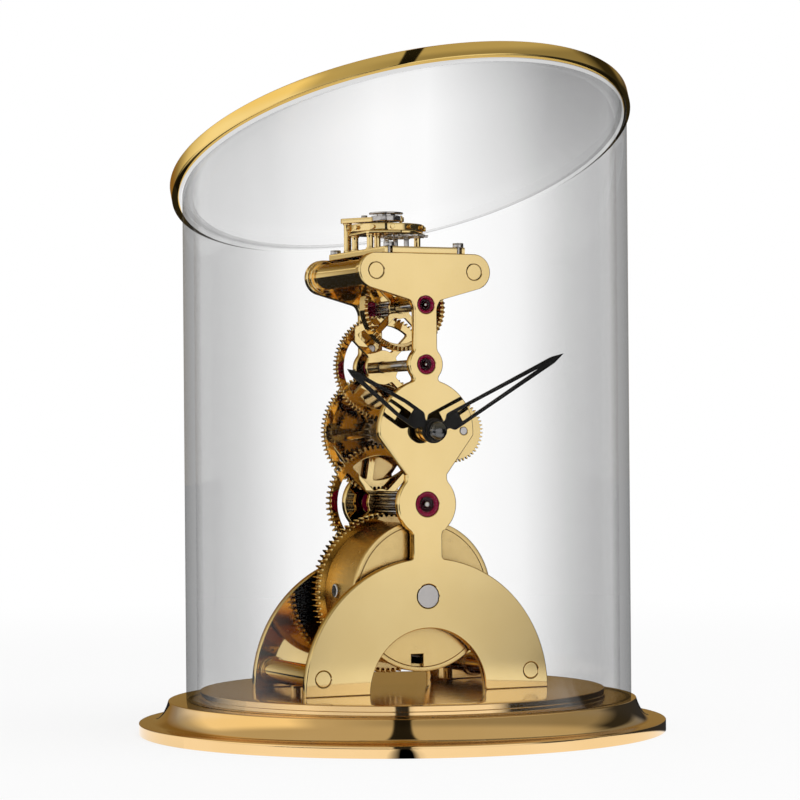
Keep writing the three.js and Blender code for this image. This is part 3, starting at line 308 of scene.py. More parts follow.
# %% [markdown]
# A finish is a small graph of shader nodes. Sums on a socket are written as plain Python: the
# Signal class wraps one socket and turns each operator into a Math node. Any other node comes from
# the node method, which sets its settings first and then its sockets.

# %% Write shader sums in Python
class Signal:
    def __init__(self, finish, socket):
        self.finish = finish
        self.socket = socket

    def sum(self, operation, one, two):
        return self.finish.node("Math", {0: one, 1: two}, operation=operation)

    def __add__(self, other):
        return self.sum("ADD", self, other)

    def __radd__(self, other):
        return self.sum("ADD", other, self)

    def __sub__(self, other):
        return self.sum("SUBTRACT", self, other)

    def __rsub__(self, other):
        return self.sum("SUBTRACT", other, self)

    def __mul__(self, other):
        return self.sum("MULTIPLY", self, other)

    def __rmul__(self, other):
        return self.sum("MULTIPLY", other, self)


def grey(level):
    return (level, level, level, 1)


# the clock's front face, and the height above which its pieces lie open
face_y, deck = Box("front_plate").front, Box("upper_pillar_left").foot - 2


class Finish:
    def __init__(self, holder):
        self.holder = holder
        holder.use_nodes = True
        self.tree = holder.node_tree
        self.tree.nodes.clear()

    def node(self, kind, sockets=None, out=0, stops=None, **settings):
        made = self.tree.nodes.new("ShaderNode" + kind)
        for name, value in settings.items():
            setattr(made, name, value)
        if stops:
            while len(made.color_ramp.elements) < len(stops):
                made.color_ramp.elements.new(1.0)
            for element, (place, level) in zip(made.color_ramp.elements, stops):
                element.position = place
                element.color = grey(level)
        for name, value in (sockets or {}).items():
            if isinstance(value, Signal):
                self.tree.links.new(value.socket, made.inputs[name])
            else:
                made.inputs[name].default_value = value
        return Signal(self, made.outputs[out]) if made.outputs else None

    def ramp(self, factor, stops):
        return self.node("ValToRGB", {"Fac": factor}, stops=stops)

    def mix(self, factor, one, two):
        return self.node("Mix", {0: factor, 6: one, 7: two}, 2, data_type="RGBA")

    def blended(self, factor, one, two):
        return self.node("MixShader", {0: factor, 1: one, 2: two})

    def step(self, value, low, high):
        sockets = {"Value": value, "From Min": low, "From Max": high}
        return self.node("MapRange", sockets, interpolation_type="SMOOTHSTEP")

    def vector(self, operation, one, two=(0, 0, 0), out="Vector"):
        return self.node("VectorMath", {0: one, 1: two}, out, operation=operation)

    def part(self, vector, name):
        return self.node("SeparateXYZ", {"Vector": vector}, name)

    def place(self):
        return self.node("TexCoord", out="Object")

    def compass(self, vector):
        """The direction round the clock, from 0 to 1, with the front at 0.5 and the right at 0.75."""
        sockets = {0: self.part(vector, "X"), 1: self.part(vector, "Y") * -1.0}
        return self.node("Math", sockets, operation="ARCTAN2") * (0.5 / pi) + 0.5

    def noise(self, scale, detail=2.0, stretch=(1, 1, 1)):
        drawn = self.node("Mapping", {"Vector": self.place(), "Scale": stretch})
        return self.node("TexNoise", {"Vector": drawn, "Scale": scale, "Detail": detail})

    def bump(self, strength, reach, height):
        return self.node("Bump", {"Strength": strength, "Distance": reach, "Height": height})

    def painted_hollow_shade(self, reach):
        """One where a surface lies open, nought deep between other pieces, where painted shade darkens it
        fully; the clock's face is open.
        """
        around = self.node("AmbientOcclusion", {"Distance": reach}, "AO", samples=4)
        behind = self.step(self.part(self.place(), "Y"), (face_y + 0.4) * MM, (face_y + 0.9) * MM)
        above = self.step(self.part(self.place(), "Z"), deck * MM, (deck + 2) * MM)
        return 1 - (1 - self.step(around, 0.1, 0.8)) * (behind * (1 - above))

    def surface(self, shader, kind="OutputMaterial"):
        self.node(kind, {"Surface": shader})
        return self.holder

    def solid(self, sockets):
        return self.surface(self.node("BsdfPrincipled", sockets))


def new_finish(name):
    return Finish(bpy.data.materials.new(name))


print("shader helper ready")

# %% [markdown]
# Gilt brass is polished to a mirror and then gilded, so its colour is the colour of what it mirrors, times
# gold. A plain metal colour would look like plastic, so a slow cloud shifts the tone by a few parts in a
# hundred, a finer one moves the roughness as handling does, and a very faint bump breaks long reflections as
# hand polishing does. Deep between the pieces the gold is darkened by painted shade.

# %% Gilt finishes
warm_edge, brown_shade = (1, 0.78, 0.45, 1), (0.16, 0.07, 0.02, 1)


def gilt(name, bright, deep, rough, ripple, edge=warm_edge, faced=0.0, shade=brown_shade):
    finish = new_finish(name)
    level = finish.step(finish.part(finish.node("NewGeometry", out="Normal"), "Z"), 0.9, 0.98)
    gold = finish.mix(finish.step(finish.noise(45.0, 3.0), 0.3, 0.7), deep, bright)
    return finish.solid({
        # painted shade: deep between the pieces the gold darkens to the shade colour
        "Base Color": finish.mix(finish.painted_hollow_shade(0.014), shade, gold),
        "Metallic": 1.0,
        "Roughness": rough + finish.noise(420.0) * rough + level * faced,
        "Specular Tint": edge,
        "Normal": finish.bump(ripple, 0.0004, finish.noise(160.0, 1.0)),
    })


gilt_brass = gilt("gilt_brass", (0.87, 0.66, 0.31, 1), (0.83, 0.62, 0.28, 1), 0.025, 0.012)
gilt_base = gilt("gilt_base", (0.95, 0.65, 0.32, 1), (0.92, 0.62, 0.29, 1), 0.03, 0.004,
                 edge=grey(1), faced=0.08, shade=(0.8, 0.55, 0.26, 1))
gilt_rim = gilt("gilt_rim", (0.93, 0.67, 0.24, 1), (0.9, 0.63, 0.21, 1), 0.025, 0.008)
gilt_satin = gilt("gilt_satin", (0.86, 0.63, 0.28, 1), (0.82, 0.59, 0.25, 1), 0.16, 0.02,
                  shade=(0.36, 0.24, 0.1, 1))
finish_of_slot["gilt_brass"] = gilt_brass
print("gilt finishes made")

# %% [markdown]
# Steel pieces are ground and polished: pale, and slightly pink as a painted reflection of the gilt round
# them. The springs are the same steel, bluer and left from the roll. The hands are blackened, with a thin
# lacquer. Deep between the pieces the steel darkens with painted shade.

# %% Steel and black finishes
def steel(name, bright, deep, rough):
    finish = new_finish(name)
    grind = finish.noise(900.0, 2.0, (1, 6, 1))
    bare = finish.mix(finish.noise(300.0, 3.0), deep, bright)
    return finish.solid({
        # painted shade: deep between other pieces the steel darkens to near black
        "Base Color": finish.mix(finish.painted_hollow_shade(0.01), (0.05, 0.035, 0.03, 1), bare),
        "Metallic": 1.0,
        "Roughness": rough + grind * 0.12,
        "Normal": finish.bump(0.05, 0.0002, grind),
    })


def lacquer(name, bright, deep, rough, gloss):
    finish = new_finish(name)
    cloud = finish.noise(500.0, 3.0)
    return finish.solid({
        "Base Color": finish.mix(cloud, deep, bright),
        "Roughness": rough + cloud * 0.1,
        "Specular IOR Level": gloss,
        "Normal": finish.bump(0.04, 0.0002, cloud),
    })


# the pink in the polished steel's colour is a painted reflection of the gilt round it
polished_steel = steel("polished_steel", (0.58, 0.55, 0.53, 1), (0.48, 0.46, 0.45, 1), 0.1)
spring_steel = steel("spring_steel", (0.5, 0.52, 0.57, 1), (0.42, 0.44, 0.5, 1), 0.16)
# painted shade: the mainspring's steel is painted nearly black, for the shade inside the drum
shaded_mainspring_steel = steel("shaded_mainspring_steel", (0.1, 0.085, 0.075, 1), (0.06, 0.05, 0.045, 1), 0.3)
black_nut = steel("black_nut", grey(0.16), grey(0.12), 0.02)
black_hand = lacquer("black_hand", (0.012, 0.011, 0.011, 1), grey(0.007), 0.35, 0.14)
finish_of_slot["polished_steel"] = polished_steel
finish_of_slot["spring_steel"] = spring_steel
finish_of_slot["black_hand"] = black_hand
print("steel and black finishes made")

# %% [markdown]
# The bearings are rubies: clear, deep pink-red, with a wet gloss. True refraction in so small a stone costs
# much light and shows little, so the stone is a deep red body under a soft gloss, and down in its dish it is
# painted nearly black, as painted shade. The felt under the base is short wool, so it has a fine nap and no
# gloss.

# %% Ruby and felt finishes
def ruby_finish():
    finish = new_finish("ruby")
    cloud = finish.noise(700.0)
    back = finish.part(finish.place(), "Y")
    stone = finish.mix(cloud, (0.15, 0.0005, 0.02, 1), (0.32, 0.003, 0.05, 1))
    dish_shade_start = finish.step(back, (face_y + 0.5) * MM, (face_y + 0.8) * MM)
    dish_shade_end = finish.step(back, (face_y + 1) * MM, (face_y + 2) * MM)
    return finish.solid({
        # painted shade: the stone is painted nearly black down in the front jewels' dish, about 0.5 to 2 mm
        # behind the clock's face
        "Base Color": finish.mix(dish_shade_start * (1 - dish_shade_end), stone, (0.02, 0.0003, 0.004, 1)),
        "Roughness": 0.1 + cloud * 0.05,
        "IOR": 1.76,
        "Specular IOR Level": 0.12,
    })


def felt_finish():
    finish = new_finish("green_felt")
    nap = finish.noise(2200.0, 4.0)
    tuft = finish.noise(260.0, 3.0)
    return finish.solid({
        "Base Color": finish.mix(nap, (0.006, 0.045, 0.02, 1), (0.022, 0.11, 0.05, 1)),
        "Roughness": 0.85 + tuft * 0.15,
        "Sheen Weight": 0.4,
        "Normal": finish.bump(0.7, 0.0006, nap + tuft),
    })


finish_of_slot["ruby"] = ruby_finish()
finish_of_slot["green_felt"] = felt_finish()
print("ruby and felt finishes made")

# %% [markdown]
# The cover is clear glass, which shows as a grey shade that deepens towards the sides of the tube, with a
# faint mirror on top. Real refraction would bend the view through every wall and lose the white behind it, so
# the wall is a clear shader mixed by the angle with a dark one, as painted shade, and then with a mirror by
# the angle. The lid is flat, so the angle says little there: the tube's shade is painted on it as a
# reflection, along two level lines that are fixed in the lid, one across it and one from front to back.

# %% Glass finish
tube = Box("glass_tube")
tube_radius, wall = tube.half, 3.5
one_radius = 1 / (tube_radius * MM)
across, inwards = (0.908, -0.418, 0), (0.418, 0.908, 0)
# painted shade of the tube's wall by the angle, inside and outside, and a painted reflection across the lid
soft_glass_shade = [(0, 0.0), (0.15, 0.025), (0.36, 0.115), (0.53, 0.14)]
outer_glass_shade = soft_glass_shade + [(0.6, 0.18), (0.7, 0.38), (1, 0.48)]
inner_glass_shade = soft_glass_shade + [(0.6, 0.13), (0.75, 0.05), (1, 0.0)]
tube_shine = [(0, 0.002), (0.15, 0.006), (0.24, 0.03), (0.3, 0.045), (0.7, 0.05), (1, 0.15)]
lid_shine = [(0, 0.01), (0.6, 0.015), (0.9, 0.02), (1, 0.1)]
lid_reflected_shade = [(0, 0.05), (0.2, 0.1), (0.44, 0.0), (0.55, 0.0), (0.82, 0.24), (1, 0.26)]


def off_axis(finish):
    return finish.vector("SUBTRACT", finish.place(), (tube.x * MM, tube.y * MM, 0))


def along(finish, line):
    """The place along a level line through the tube's axis, from -1 at one wall to 1 at the other."""
    return finish.vector("DOT_PRODUCT", off_axis(finish), line, "Value") * one_radius


# painted shade on the tube's wall by the angle, with its own ramp for the outer and the inner face
def wall_painted_shade(finish, slant):
    level = finish.vector("MULTIPLY", off_axis(finish), (1, 1, 0))
    out = finish.vector("LENGTH", level, out="Value") * one_radius
    inside, outside = [finish.ramp(slant, stops) for stops in (inner_glass_shade, outer_glass_shade)]
    return finish.mix(finish.step(out, 0.965, 0.985), inside, outside)


# painted reflection of the tube's shade on the lid, along lines across and into it, stronger towards the
# front
def lid_painted_reflection(finish, slant):
    depth = along(finish, inwards)
    shade = finish.ramp(along(finish, across) * 0.5 + 0.5, lid_reflected_shade) * (1 - depth * 0.5)
    return shade + (1 - finish.step(depth, -1.0, -0.3)) * 0.05


def glass_finish(name, shine_stops, shade_of):
    finish = new_finish(name)
    slant = finish.node("LayerWeight", {"Blend": 0.5}, "Facing")
    clear = finish.node("BsdfTransparent", {"Color": grey(1)})
    dark = finish.node("BsdfTransparent", {"Color": (0.02, 0.022, 0.025, 1)})
    mirror = finish.node("BsdfGlossy", {"Color": grey(1), "Roughness": 0.02})
    # the dark see-through shader carries the painted shade and the painted reflection
    pane = finish.blended(shade_of(finish, slant), clear, dark)
    return finish.surface(finish.blended(finish.ramp(slant, shine_stops), pane, mirror))


finish_of_slot["clear_glass"] = glass_finish("clear_glass", tube_shine, wall_painted_shade)
lid_glass = glass_finish("lid_glass", lid_shine, lid_painted_reflection)
print("glass finish made")

# %% [markdown]
# The base is turned from one heavy brass disc: a square rim, a hollow cove, the ledge that carries
# the tube, and a raised disc for the movement. The edges are barely broken, so each step shows as a
# bright line. The felt below is a thin disc with a soft edge.

# %% Base and felt
felt = Box("base_felt")
ledge = tube.foot
rim_high, cove_foot, cove_turn = 3.6, 3.75, 60
cove_reach, ledge_radius, disc_radius = 5.4, 74.6, 64.5
cove_lip, step_wide, step_high = 0.4, 0.35, 1.2
felt_well = felt.half + 0.02


def cove_point(angle, whole):
    out = ledge_radius + cove_reach * (1 - sin(angle) / sin(whole))
    return out, cove_foot + (ledge - cove_foot) * (1 - cos(angle)) / (1 - cos(whole))


cove = [cove_point(radians(a), radians(cove_turn)) for a in range(0, cove_turn + 1, 4)]
below = [(0, felt.top), (felt_well, felt.top), (felt_well, 0), (base.half, 0)]
below += [(base.half, rim_high), (cove[0][0] + cove_lip, cove_foot)]
step_foot = disc_radius + step_wide
above = [cove[-2], cove[-1], (step_foot, ledge), (step_foot, ledge + step_high)]
above += [(disc_radius, ledge + step_high), (disc_radius, base.top), (0, base.top)]
profile = rounded(below, 0.3) + cove[:-1] + rounded(above, 0.28)[1:]
stand_in("base_plinth", [turned(profile, (base.x, base.y), steps=256)], gilt_base)
nap = stepped(0, (felt.half, felt.top))
stand_in("base_felt", [turned(nap, (felt.x, felt.y), steps=160, edge=0.5)])

# %% [markdown]
# The tube is cut at a slant, and the slant is turned a little to the side. Every point of its top
# edge lies in one sloping plane, so two helpers give the height of that plane over the table, and a
# point on the lid from its place across, along and above the lid's underside.

# %% Slant of the cover
lid = Box("glass_lid")
turn, tilt = radians(9.4), radians(18.65)
lid_thick, rim_thick, rim_wide, rim_gap = 3.9, 4.42, 2.22, 0.03
lid_under = lid.z - lid_thick * cos(tilt) / 2
lid_x = lid.x + sin(turn) * sin(tilt) * lid_thick / 2
lid_y = lid.y - cos(turn) * sin(tilt) * lid_thick / 2


def slant_height(x, y):
    return lid_under + ((x - lid_x) * sin(turn) - (y - lid_y) * cos(turn)) * tan(tilt)


def slanted(sideways, forth, above):
    level = forth * cos(tilt) + above * sin(tilt)
    x, y = swung([(sideways, level)], turn, lid_x, lid_y)[0]
    return x, y, lid_under + above * cos(tilt) - forth * sin(tilt)


def oval(radius, steps=224):
    return [(x, y / cos(tilt)) for x, y in round_loop(0, 0, radius, steps)]


print("lid underside on the axis at", round(lid_under, 3), "mm, tube top", round(tube.top, 3))

# %% [markdown]
# The tube is drawn glass with fire-polished edges. It is a ring of eight circles, four low and four
# high, and the high ones follow the slant. The lid is a flat oval disc with ground edges, and the
# gilt rim is a ring with a soft outer edge that hides the joint.

# %% Tube, lid and rim
tube_edge, lid_room, lid_lift, lid_bevel = 0.35, 0.45, 0.02, 0.3


def slant_tube(inner, outer, edge, steps=224):
    low = [(inner, edge), (inner + edge, 0), (outer - edge, 0), (outer, edge)]
    columns = []
    for u, v in round_loop(0, 0, 1, steps):
        spots = [(tube.x + radius * u, tube.y + radius * v, lift) for radius, lift in low]
        column = [(x, y, ledge + lift) for x, y, lift in spots]
        column += [(x, y, slant_height(x, y) - lift) for x, y, lift in reversed(spots)]
        columns.append(column)
    return wrapped(columns)


def lid_sheet(outline, holes, low, high, bevel=lid_bevel, rounds=3):
    points, faces = sawn(outline, holes, low, high, bevel, "top", rounds)
    return [slanted(*point) for point in points], faces


stand_in("glass_tube", [slant_tube(tube_radius - wall, tube_radius, tube_edge)])
stand_in("glass_lid", [lid_sheet(oval(tube_radius - lid_room), [], lid_lift, lid_thick)], lid_glass)
rim_inside = tube_radius + rim_gap
rim_sheet = lid_sheet(oval(rim_inside + rim_wide), [oval(rim_inside)], 0, rim_thick)
stand_in("lid_rim", [rim_sheet], gilt_rim)

# %% [markdown]
# The lid's ground edge and the tube's end throw light back inside the glass, so the far side of the
# gilt rim never shows through: only a pale line does. Tracing that light is slow, so a thin ring
# stands where the joint is and gives a little light of its own, more at the back than at the front.

# %% Pale line of the joint
def pale_edge():
    finish = new_finish("glass_edge")
    back = finish.step(along(finish, inwards), -0.3, 0.3)
    return finish.solid({
        "Base Color": finish.mix(finish.noise(90.0), grey(0.02), grey(0.05)),
        "Roughness": 0.6,
        "Specular IOR Level": 0.0,
        "Emission Color": finish.mix(back, grey(0.7), grey(0.97)),
        "Emission Strength": 1.0,
    })


joint_wide, joint_low, joint_top = 0.3, -1.0, rim_thick - 0.15
joint_radius = tube_radius - 0.03
joint_hole = oval(joint_radius - joint_wide)
joint = lid_sheet(oval(joint_radius), [joint_hole], joint_low, joint_top, 0.05, 2)
added("lid_joint", [joint], "cover", "clear_glass", pale_edge())

# %% [markdown]
# Two plates carry everything. Each is sawn to one outline: an arched foot, a neck, and round bosses
# over the axes, up to the broad shoulders. The saw leaves no sharp inner corners, so a helper eases
# chosen corners over a short reach. The heights of the bosses come from the jewels.

# %% Outline of the plates
plate, rear_plate = Box("front_plate"), Box("rear_plate")
front_face, front_inner = plate.front, plate.back
rear_inner, rear_face = rear_plate.front, rear_plate.back
barrel_z = Box("barrel_arbor").z
jewel_z = {name: Box("front_jewel_" + name).z for name in ("intermediate", "third", "contrate")}
jewel_z["centre"] = Box("rear_jewel_centre").z
intermediate_z, third_z, contrate_z, centre_z = jewel_z.values()
arch_outer, arch_inner = plate.half, 20.0
low_neck, low_pinch, high_pinch, high_neck = 5.0, 6.9, 4.05, 3.8
intermediate_boss, centre_boss, third_boss, shoulder = 10.0, 16.2, 5.75, 5.65
upper, lower = Box("upper_pillar_right"), Box("lower_pillar_right")


def eased(loop, corners, reach, steps=6):
    """Ease the loop's corners nearest to the given points, over a reach along the loop."""
    count = len(loop)
    cuts = {}
    for corner in corners:
        place = min(range(count), key=lambda k: apart(loop[k], corner))
        ends = []
        for way in (-1, 1):
            k, left = place, reach
            here, there = loop[k], loop[(k + way) % count]
            while apart(here, there) < left:
                left -= apart(here, there)
                k += way
                here, there = there, loop[(k + way) % count]
            ends.append((k + way, between(here, there, left / apart(here, there))))
        cuts[place] = ends
    made = []
    for k in range(count):
        holder = next((place for place, ((start, _), (end, _)) in cuts.items()
                       if any(start < k + lap < end for lap in (-count, 0, count))), None)
        if holder is None:
            made.append(loop[k])
        elif holder == k:
            (_, one), (_, two) = cuts[k]
            made += bend(one, loop[k], two, steps)
    return made


def cross(radius, half):
    """The angle, in degrees, at which a circle is this far from its upright middle line."""
    return degrees(acos(half / radius))


def rise(radius, half):
    """How far over its centre a circle is, this far from its upright middle line."""
    return sqrt(radius ** 2 - half ** 2)


waist = intermediate_z + rise(intermediate_boss, low_pinch)
waist_end = -degrees(asin(1.5 / centre_boss))
neck_top, throat = (high_neck, contrate_z - 1), (5.0, contrate_z + 1.4)
right = bow(0, plate.foot, arch_outer, 0, cross(arch_outer, low_neck), 72)
right += bow(0, intermediate_z, intermediate_boss, -cross(intermediate_boss, low_neck),
             cross(intermediate_boss, low_pinch), 28)
right += [(low_pinch, waist + 2)]
right += bow(0, centre_z, centre_boss, waist_end, cross(centre_boss, high_pinch), 44)
right += bow(0, third_z, third_boss, -cross(third_boss, high_pinch), cross(third_boss, high_neck), 24)
right += [neck_top, throat] + bow(upper.x, upper.z, shoulder, -70, 90, 32)
inner = [(low_neck, plate.foot + rise(arch_outer, low_neck))]
inner += [(low_neck, intermediate_z - rise(intermediate_boss, low_neck)), (low_pinch, waist)]
inner += [(high_pinch, centre_z + rise(centre_boss, high_pinch))]
inner += [(high_pinch, third_z - rise(third_boss, high_pinch))]
inner += [(high_neck, third_z + rise(third_boss, high_neck)), neck_top, throat]
outline = right + mirrored(right) + bow(0, plate.foot, arch_inner, 180, 0, 60)
outline = eased(outline, inner + [(-x, z) for x, z in inner], 1.1)
print("plate outline has", len(outline), "points, from", round(plate.foot, 2), "to", round(plate.top, 2))

# %% [markdown]
# The holes in the plates take the pillars' tenons, the jewels and the barrel's pivots. A tenon is
# pressed flush and shows only as a fine ring, which the two small bevels make by themselves.

# %% Front and rear plate
fit, play = 0.03, 0.12
jewel_radius = {"intermediate": 3.9, "centre": 2.6, "third": 3.0, "contrate": 2.8}
barrel_pivot, tenon, minute_stud, hour_pipe, click_shank = 3.65, 2.55, 1.2, 3.0, 1.0
stud, click_screw = Box("minute_stud"), Box("click_screw")
front_jewels = ["intermediate", "third", "contrate"]
rear_jewels = ["intermediate", "centre", "third", "contrate"]


def plate_holes(names):
    holes = [round_loop(0, jewel_z[name], jewel_radius[name] + fit) for name in names]
    holes.append(round_loop(0, barrel_z, barrel_pivot + play))
    for side in (-1, 1):
        holes += [round_loop(side * here.x, here.z, tenon + fit) for here in (upper, lower)]
    return holes


front_holes = plate_holes(front_jewels)
front_holes += [round_loop(0, centre_z, hour_pipe + play), round_loop(stud.x, stud.z, minute_stud + fit)]
rear_holes = plate_holes(rear_jewels) + [round_loop(click_screw.x, click_screw.z, click_shank + fit)]
stand_in("front_plate", [sawn(outline, front_holes, front_face, front_inner, 0.3)])
stand_in("rear_plate", [sawn(outline, rear_holes, rear_inner, rear_face, 0.3)])

# %% [markdown]
# A small lozenge is riveted to the inside of the rear plate, above the third axis. It is sawn from
# the same gilt sheet, and the rivet is a turned steel button.

# %% Lozenge and rivet
lozenge = (-0.6, third_z + 6.3)
lozenge_half, lozenge_thick, lozenge_lean, rivet, rivet_proud = 3.5, 0.9, -8, 1.25, 0.25
lozenge_face = rear_inner - lozenge_thick
corners = bow(*lozenge, lozenge_half, lozenge_lean, lozenge_lean + 270, 3)
patch = sawn(rounded(corners, 0.4, True), [round_loop(*lozenge, rivet)], lozenge_face, rear_inner, 0.2)
button = stepped(rear_inner, (rivet, lozenge_face - rivet_proud))
added("plate_lozenge", [patch], "frame", "gilt_brass")
added("plate_rivet", [turned(button, lozenge, "y", 48, edge=0.2)], "frame", "polished_steel")

# %% [markdown]
# Pillars hold the plates apart. Each is turned with a collar at both ends and a waistless shaft, and
# a short stud under each lower pillar holds the movement to the base.

# %% Pillars and studs
collar_wide = 1.6


def pillar(node, shaft, collar):
    here = Box(node)
    profile = stepped(here.front, (tenon, front_inner), (collar, front_inner + collar_wide),
                      (shaft, rear_inner - collar_wide), (collar, rear_inner), (tenon, here.back))
    stand_in(node, [turned(profile, (here.x, here.z), "y", 72, edge=0.22)])


for side in ("left", "right"):
    pillar("upper_pillar_" + side, 4.1, 5.2)
    pillar("lower_pillar_" + side, 3.75, 4.5)
    here = Box("base_stud_" + side)
    rod = stepped(here.foot, (here.half, here.top))
    stand_in("base_stud_" + side, [turned(rod, (here.x, here.y), steps=40, edge=0.2)])

# %% [markdown]
# A jewel is a ruby ring with a flat shoulder and a polished dish round its hole, which holds the oil. The
# dish is what makes the stone dark inside and bright at one side, so it is modelled; the ruby's finish also
# paints shade down in the dish.

# %% Jewels
def jewel(node, name, face, inward):
    radius, bore, dish, deep = jewel_radius[name], 1.12, 0.9, 2.8
    flat = radius * 0.82
    profile = [(radius, face + inward * deep), (radius, face), (flat, face)]
    for step in range(1, 9):
        t = step / 8
        profile.append((flat + (bore - flat) * t, face + inward * dish * sin(t * pi / 2)))
    profile.append((bore, face + inward * deep))
    stand_in(node, [turned(profile, (0, jewel_z[name]), "y", 64, True, 0.3)])


for name in front_jewels:
    jewel("front_jewel_" + name, name, Box("front_jewel_" + name).front, 1)
for name in rear_jewels:
    jewel("rear_jewel_" + name, name, Box("rear_jewel_" + name).back, -1)

# %% [markdown]
# Clock teeth have straight flanks and pointed, rounded tips. One helper draws the loop of a whole
# wheel from its tooth count and pitch radius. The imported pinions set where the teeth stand, so the
# same rule for two wheels in mesh is used here.

# %% Teeth
wheel_root, leaf_root = 1.45, 1.45


def toothed(count, pitch, phase, root, tip, x, z, fat):
    module = 2 * pitch / count
    low, high = pitch - root * module, pitch + tip * module
    half = [(-0.36, low), (-fat - 0.05, low + 0.3 * module), (-fat, pitch)]
    half += [(-fat * 0.78, pitch + 0.4 * (high - pitch)), (-fat * 0.42, pitch + 0.8 * (high - pitch))]
    form = [(-0.5, low - 0.06 * module)] + half + [(0, high)] + mirrored(half)
    loop = []
    for tooth in range(count):
        for share, radius in form:
            a = phase + (tooth + share) * 2 * pi / count
            loop.append((x + radius * cos(a), z + radius * sin(a)))
    return loop


def wheel_teeth(count, pitch, z, phase=0.0, x=0.0):
    return toothed(count, pitch, phase, wheel_root, 0.95, x, z, 0.2)


def leaf_teeth(count, pitch, z, phase=0.0, x=0.0):
    return toothed(count, pitch, phase, leaf_root, 0.85, x, z, 0.17)


def mesh_phase(mine, other, direction=pi / 2):
    """Where the other wheel's teeth stand, so that they fall between mine on one side."""
    return direction + pi - 2 * pi * (0.5 - mine * direction / (2 * pi)) / other


def crossings(spokes, hub, rim, width, phase, z):
    loops = []
    outer, inside = asin(width / 2 / rim), asin(width / 2 / hub)
    for spoke in range(spokes):
        start = phase + 2 * pi * spoke / spokes
        end = start + 2 * pi / spokes
        loop = bow(0, z, rim, degrees(start + outer), degrees(end - outer), 28)
        loop += bow(0, z, hub, degrees(end - inside), degrees(start + inside), 10)
        loops.append(eased(loop, [loop[0], loop[28], loop[29], loop[-1]], 0.7, 4))
    return loops


def share(distance, mine, other):
    return distance * mine / (mine + other)


to_intermediate, to_centre = intermediate_z - barrel_z, centre_z - intermediate_z
to_third, to_contrate = third_z - centre_z, contrate_z - third_z
print("axes apart:", [round(d, 2) for d in (to_intermediate, to_centre, to_third, to_contrate)])

# %% [markdown]
# The barrel holds the mainspring. It is a drum with a flange at the front, a snapped-in cover with a
# small notch for prising it off, and the great wheel behind it. A steel hook in the drum's wall
# holds the spring's end, and the arbor goes through everything.

# %% Barrel
great, drum, cover = Box("great_wheel"), Box("barrel_drum"), Box("barrel_cover")
flange, flange_wide, drum_wall = drum.half, 2, 1.3
drum_radius, cover_radius, barrel_bore = flange - 1.2, flange - 1.5, barrel_pivot + play
drum_inside, cover_seat = drum_radius - drum_wall, cover_radius + fit
web = drum.back - 1.5
profile = [(barrel_bore, web), (drum_inside, web), (drum_inside, cover.back), (cover_seat, cover.back)]
profile += [(cover_seat, drum.front), (flange, drum.front), (flange, drum.front + flange_wide)]
profile += [(drum_radius, drum.front + flange_wide), (drum_radius, drum.back), (barrel_bore, drum.back)]
stand_in("barrel_drum", [turned(profile, (0, barrel_z), "y", 160, True, 0.2, 3)], gilt_satin)
loop = wheel_teeth(88, share(to_intermediate, 88, 12), barrel_z)
bore = [round_loop(0, barrel_z, barrel_bore)]
stand_in("great_wheel", [sawn(loop, bore, great.front, great.back, 0.14)])
notch_x, notch_half, notch_high = -2.2, 2.05, 4.1
notch_top = barrel_z - cover_radius + notch_high
left_wall, right_wall = notch_x - notch_half, notch_x + notch_half
edge = bow(0, barrel_z, cover_radius, -89.5, 269.5, 180)
edge = [(x, z) for x, z in edge if not (left_wall < x < right_wall and z < barrel_z)]
first = next(k for k, (x, z) in enumerate(edge) if x > right_wall and z < barrel_z)
edge = edge[first:] + edge[:first]
edge += [(left_wall, barrel_z - rise(cover_radius, left_wall)), (left_wall, notch_top)]
edge += [(right_wall, notch_top), (right_wall, barrel_z - rise(cover_radius, right_wall))]
stand_in("barrel_cover", [sawn(edge, bore, cover.front, cover.back, 0.18)], gilt_satin)

# %% [markdown]
# The mainspring is a long steel strip wound in a flat spiral. It is hidden in the drum, but it is
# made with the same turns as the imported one, as a strip of fine steps round both of its edges.

# %% Spring, hook and arbor of the barrel
def wound(inner_radius, pitch, turns, strip, z, steps=64):
    edges = []
    for offset in (strip / 2, -strip / 2):
        rows = [(2 * pi * k / steps, inner_radius + pitch * k / steps + offset)
                for k in range(turns * steps + 1)]
        edges.append([(radius * cos(a), z + radius * sin(a)) for a, radius in rows])
    return edges[0] + edges[1][::-1]


def square(half):
    return pipe(-half, half, barrel_z - half, barrel_z + half)


coil, arbor, hook = Box("mainspring"), Box("barrel_arbor"), Box("barrel_hook")
core, strip, coil_turns, shake = 5.5, 0.7, 4, 0.3
coil_inner = core + 1.2
coil_pitch = (drum_inside - 0.6 - strip - coil_inner) / coil_turns
loop = wound(coil_inner, coil_pitch, coil_turns, strip, barrel_z)
# the mainspring takes the steel painted nearly black, as painted shade inside the drum
stand_in("mainspring", [sawn(loop, [], coil.front, coil.back, 0.1)], shaded_mainspring_steel)
button = stepped(hook.right, ((hook.back - hook.front) / 2, hook.left))
points, faces = turned(button, (hook.y, hook.z), steps=48, edge=0.45)
stand_in("barrel_hook", [([(z, x, y) for x, y, z in points], faces)])
square_start, square_half = rear_face + shake, 2.5
profile = stepped(arbor.front, (barrel_pivot, cover.back + shake), (core, web - shake),
                  (barrel_pivot, square_start))
stand_in("barrel_arbor", [
    turned(profile, (0, barrel_z), "y", 64, edge=0.18),
    sawn(rounded(square(square_half), 0.25, True), [], square_start, arbor.back, 0.35)])

# %% [markdown]
# Each arbor of the train is a steel rod with pivots at both ends and a pinion cut in it, and carries
# a crossed wheel. The visible ends of the pivots are slim and rounded, so they taper inside the
# jewel's dish.

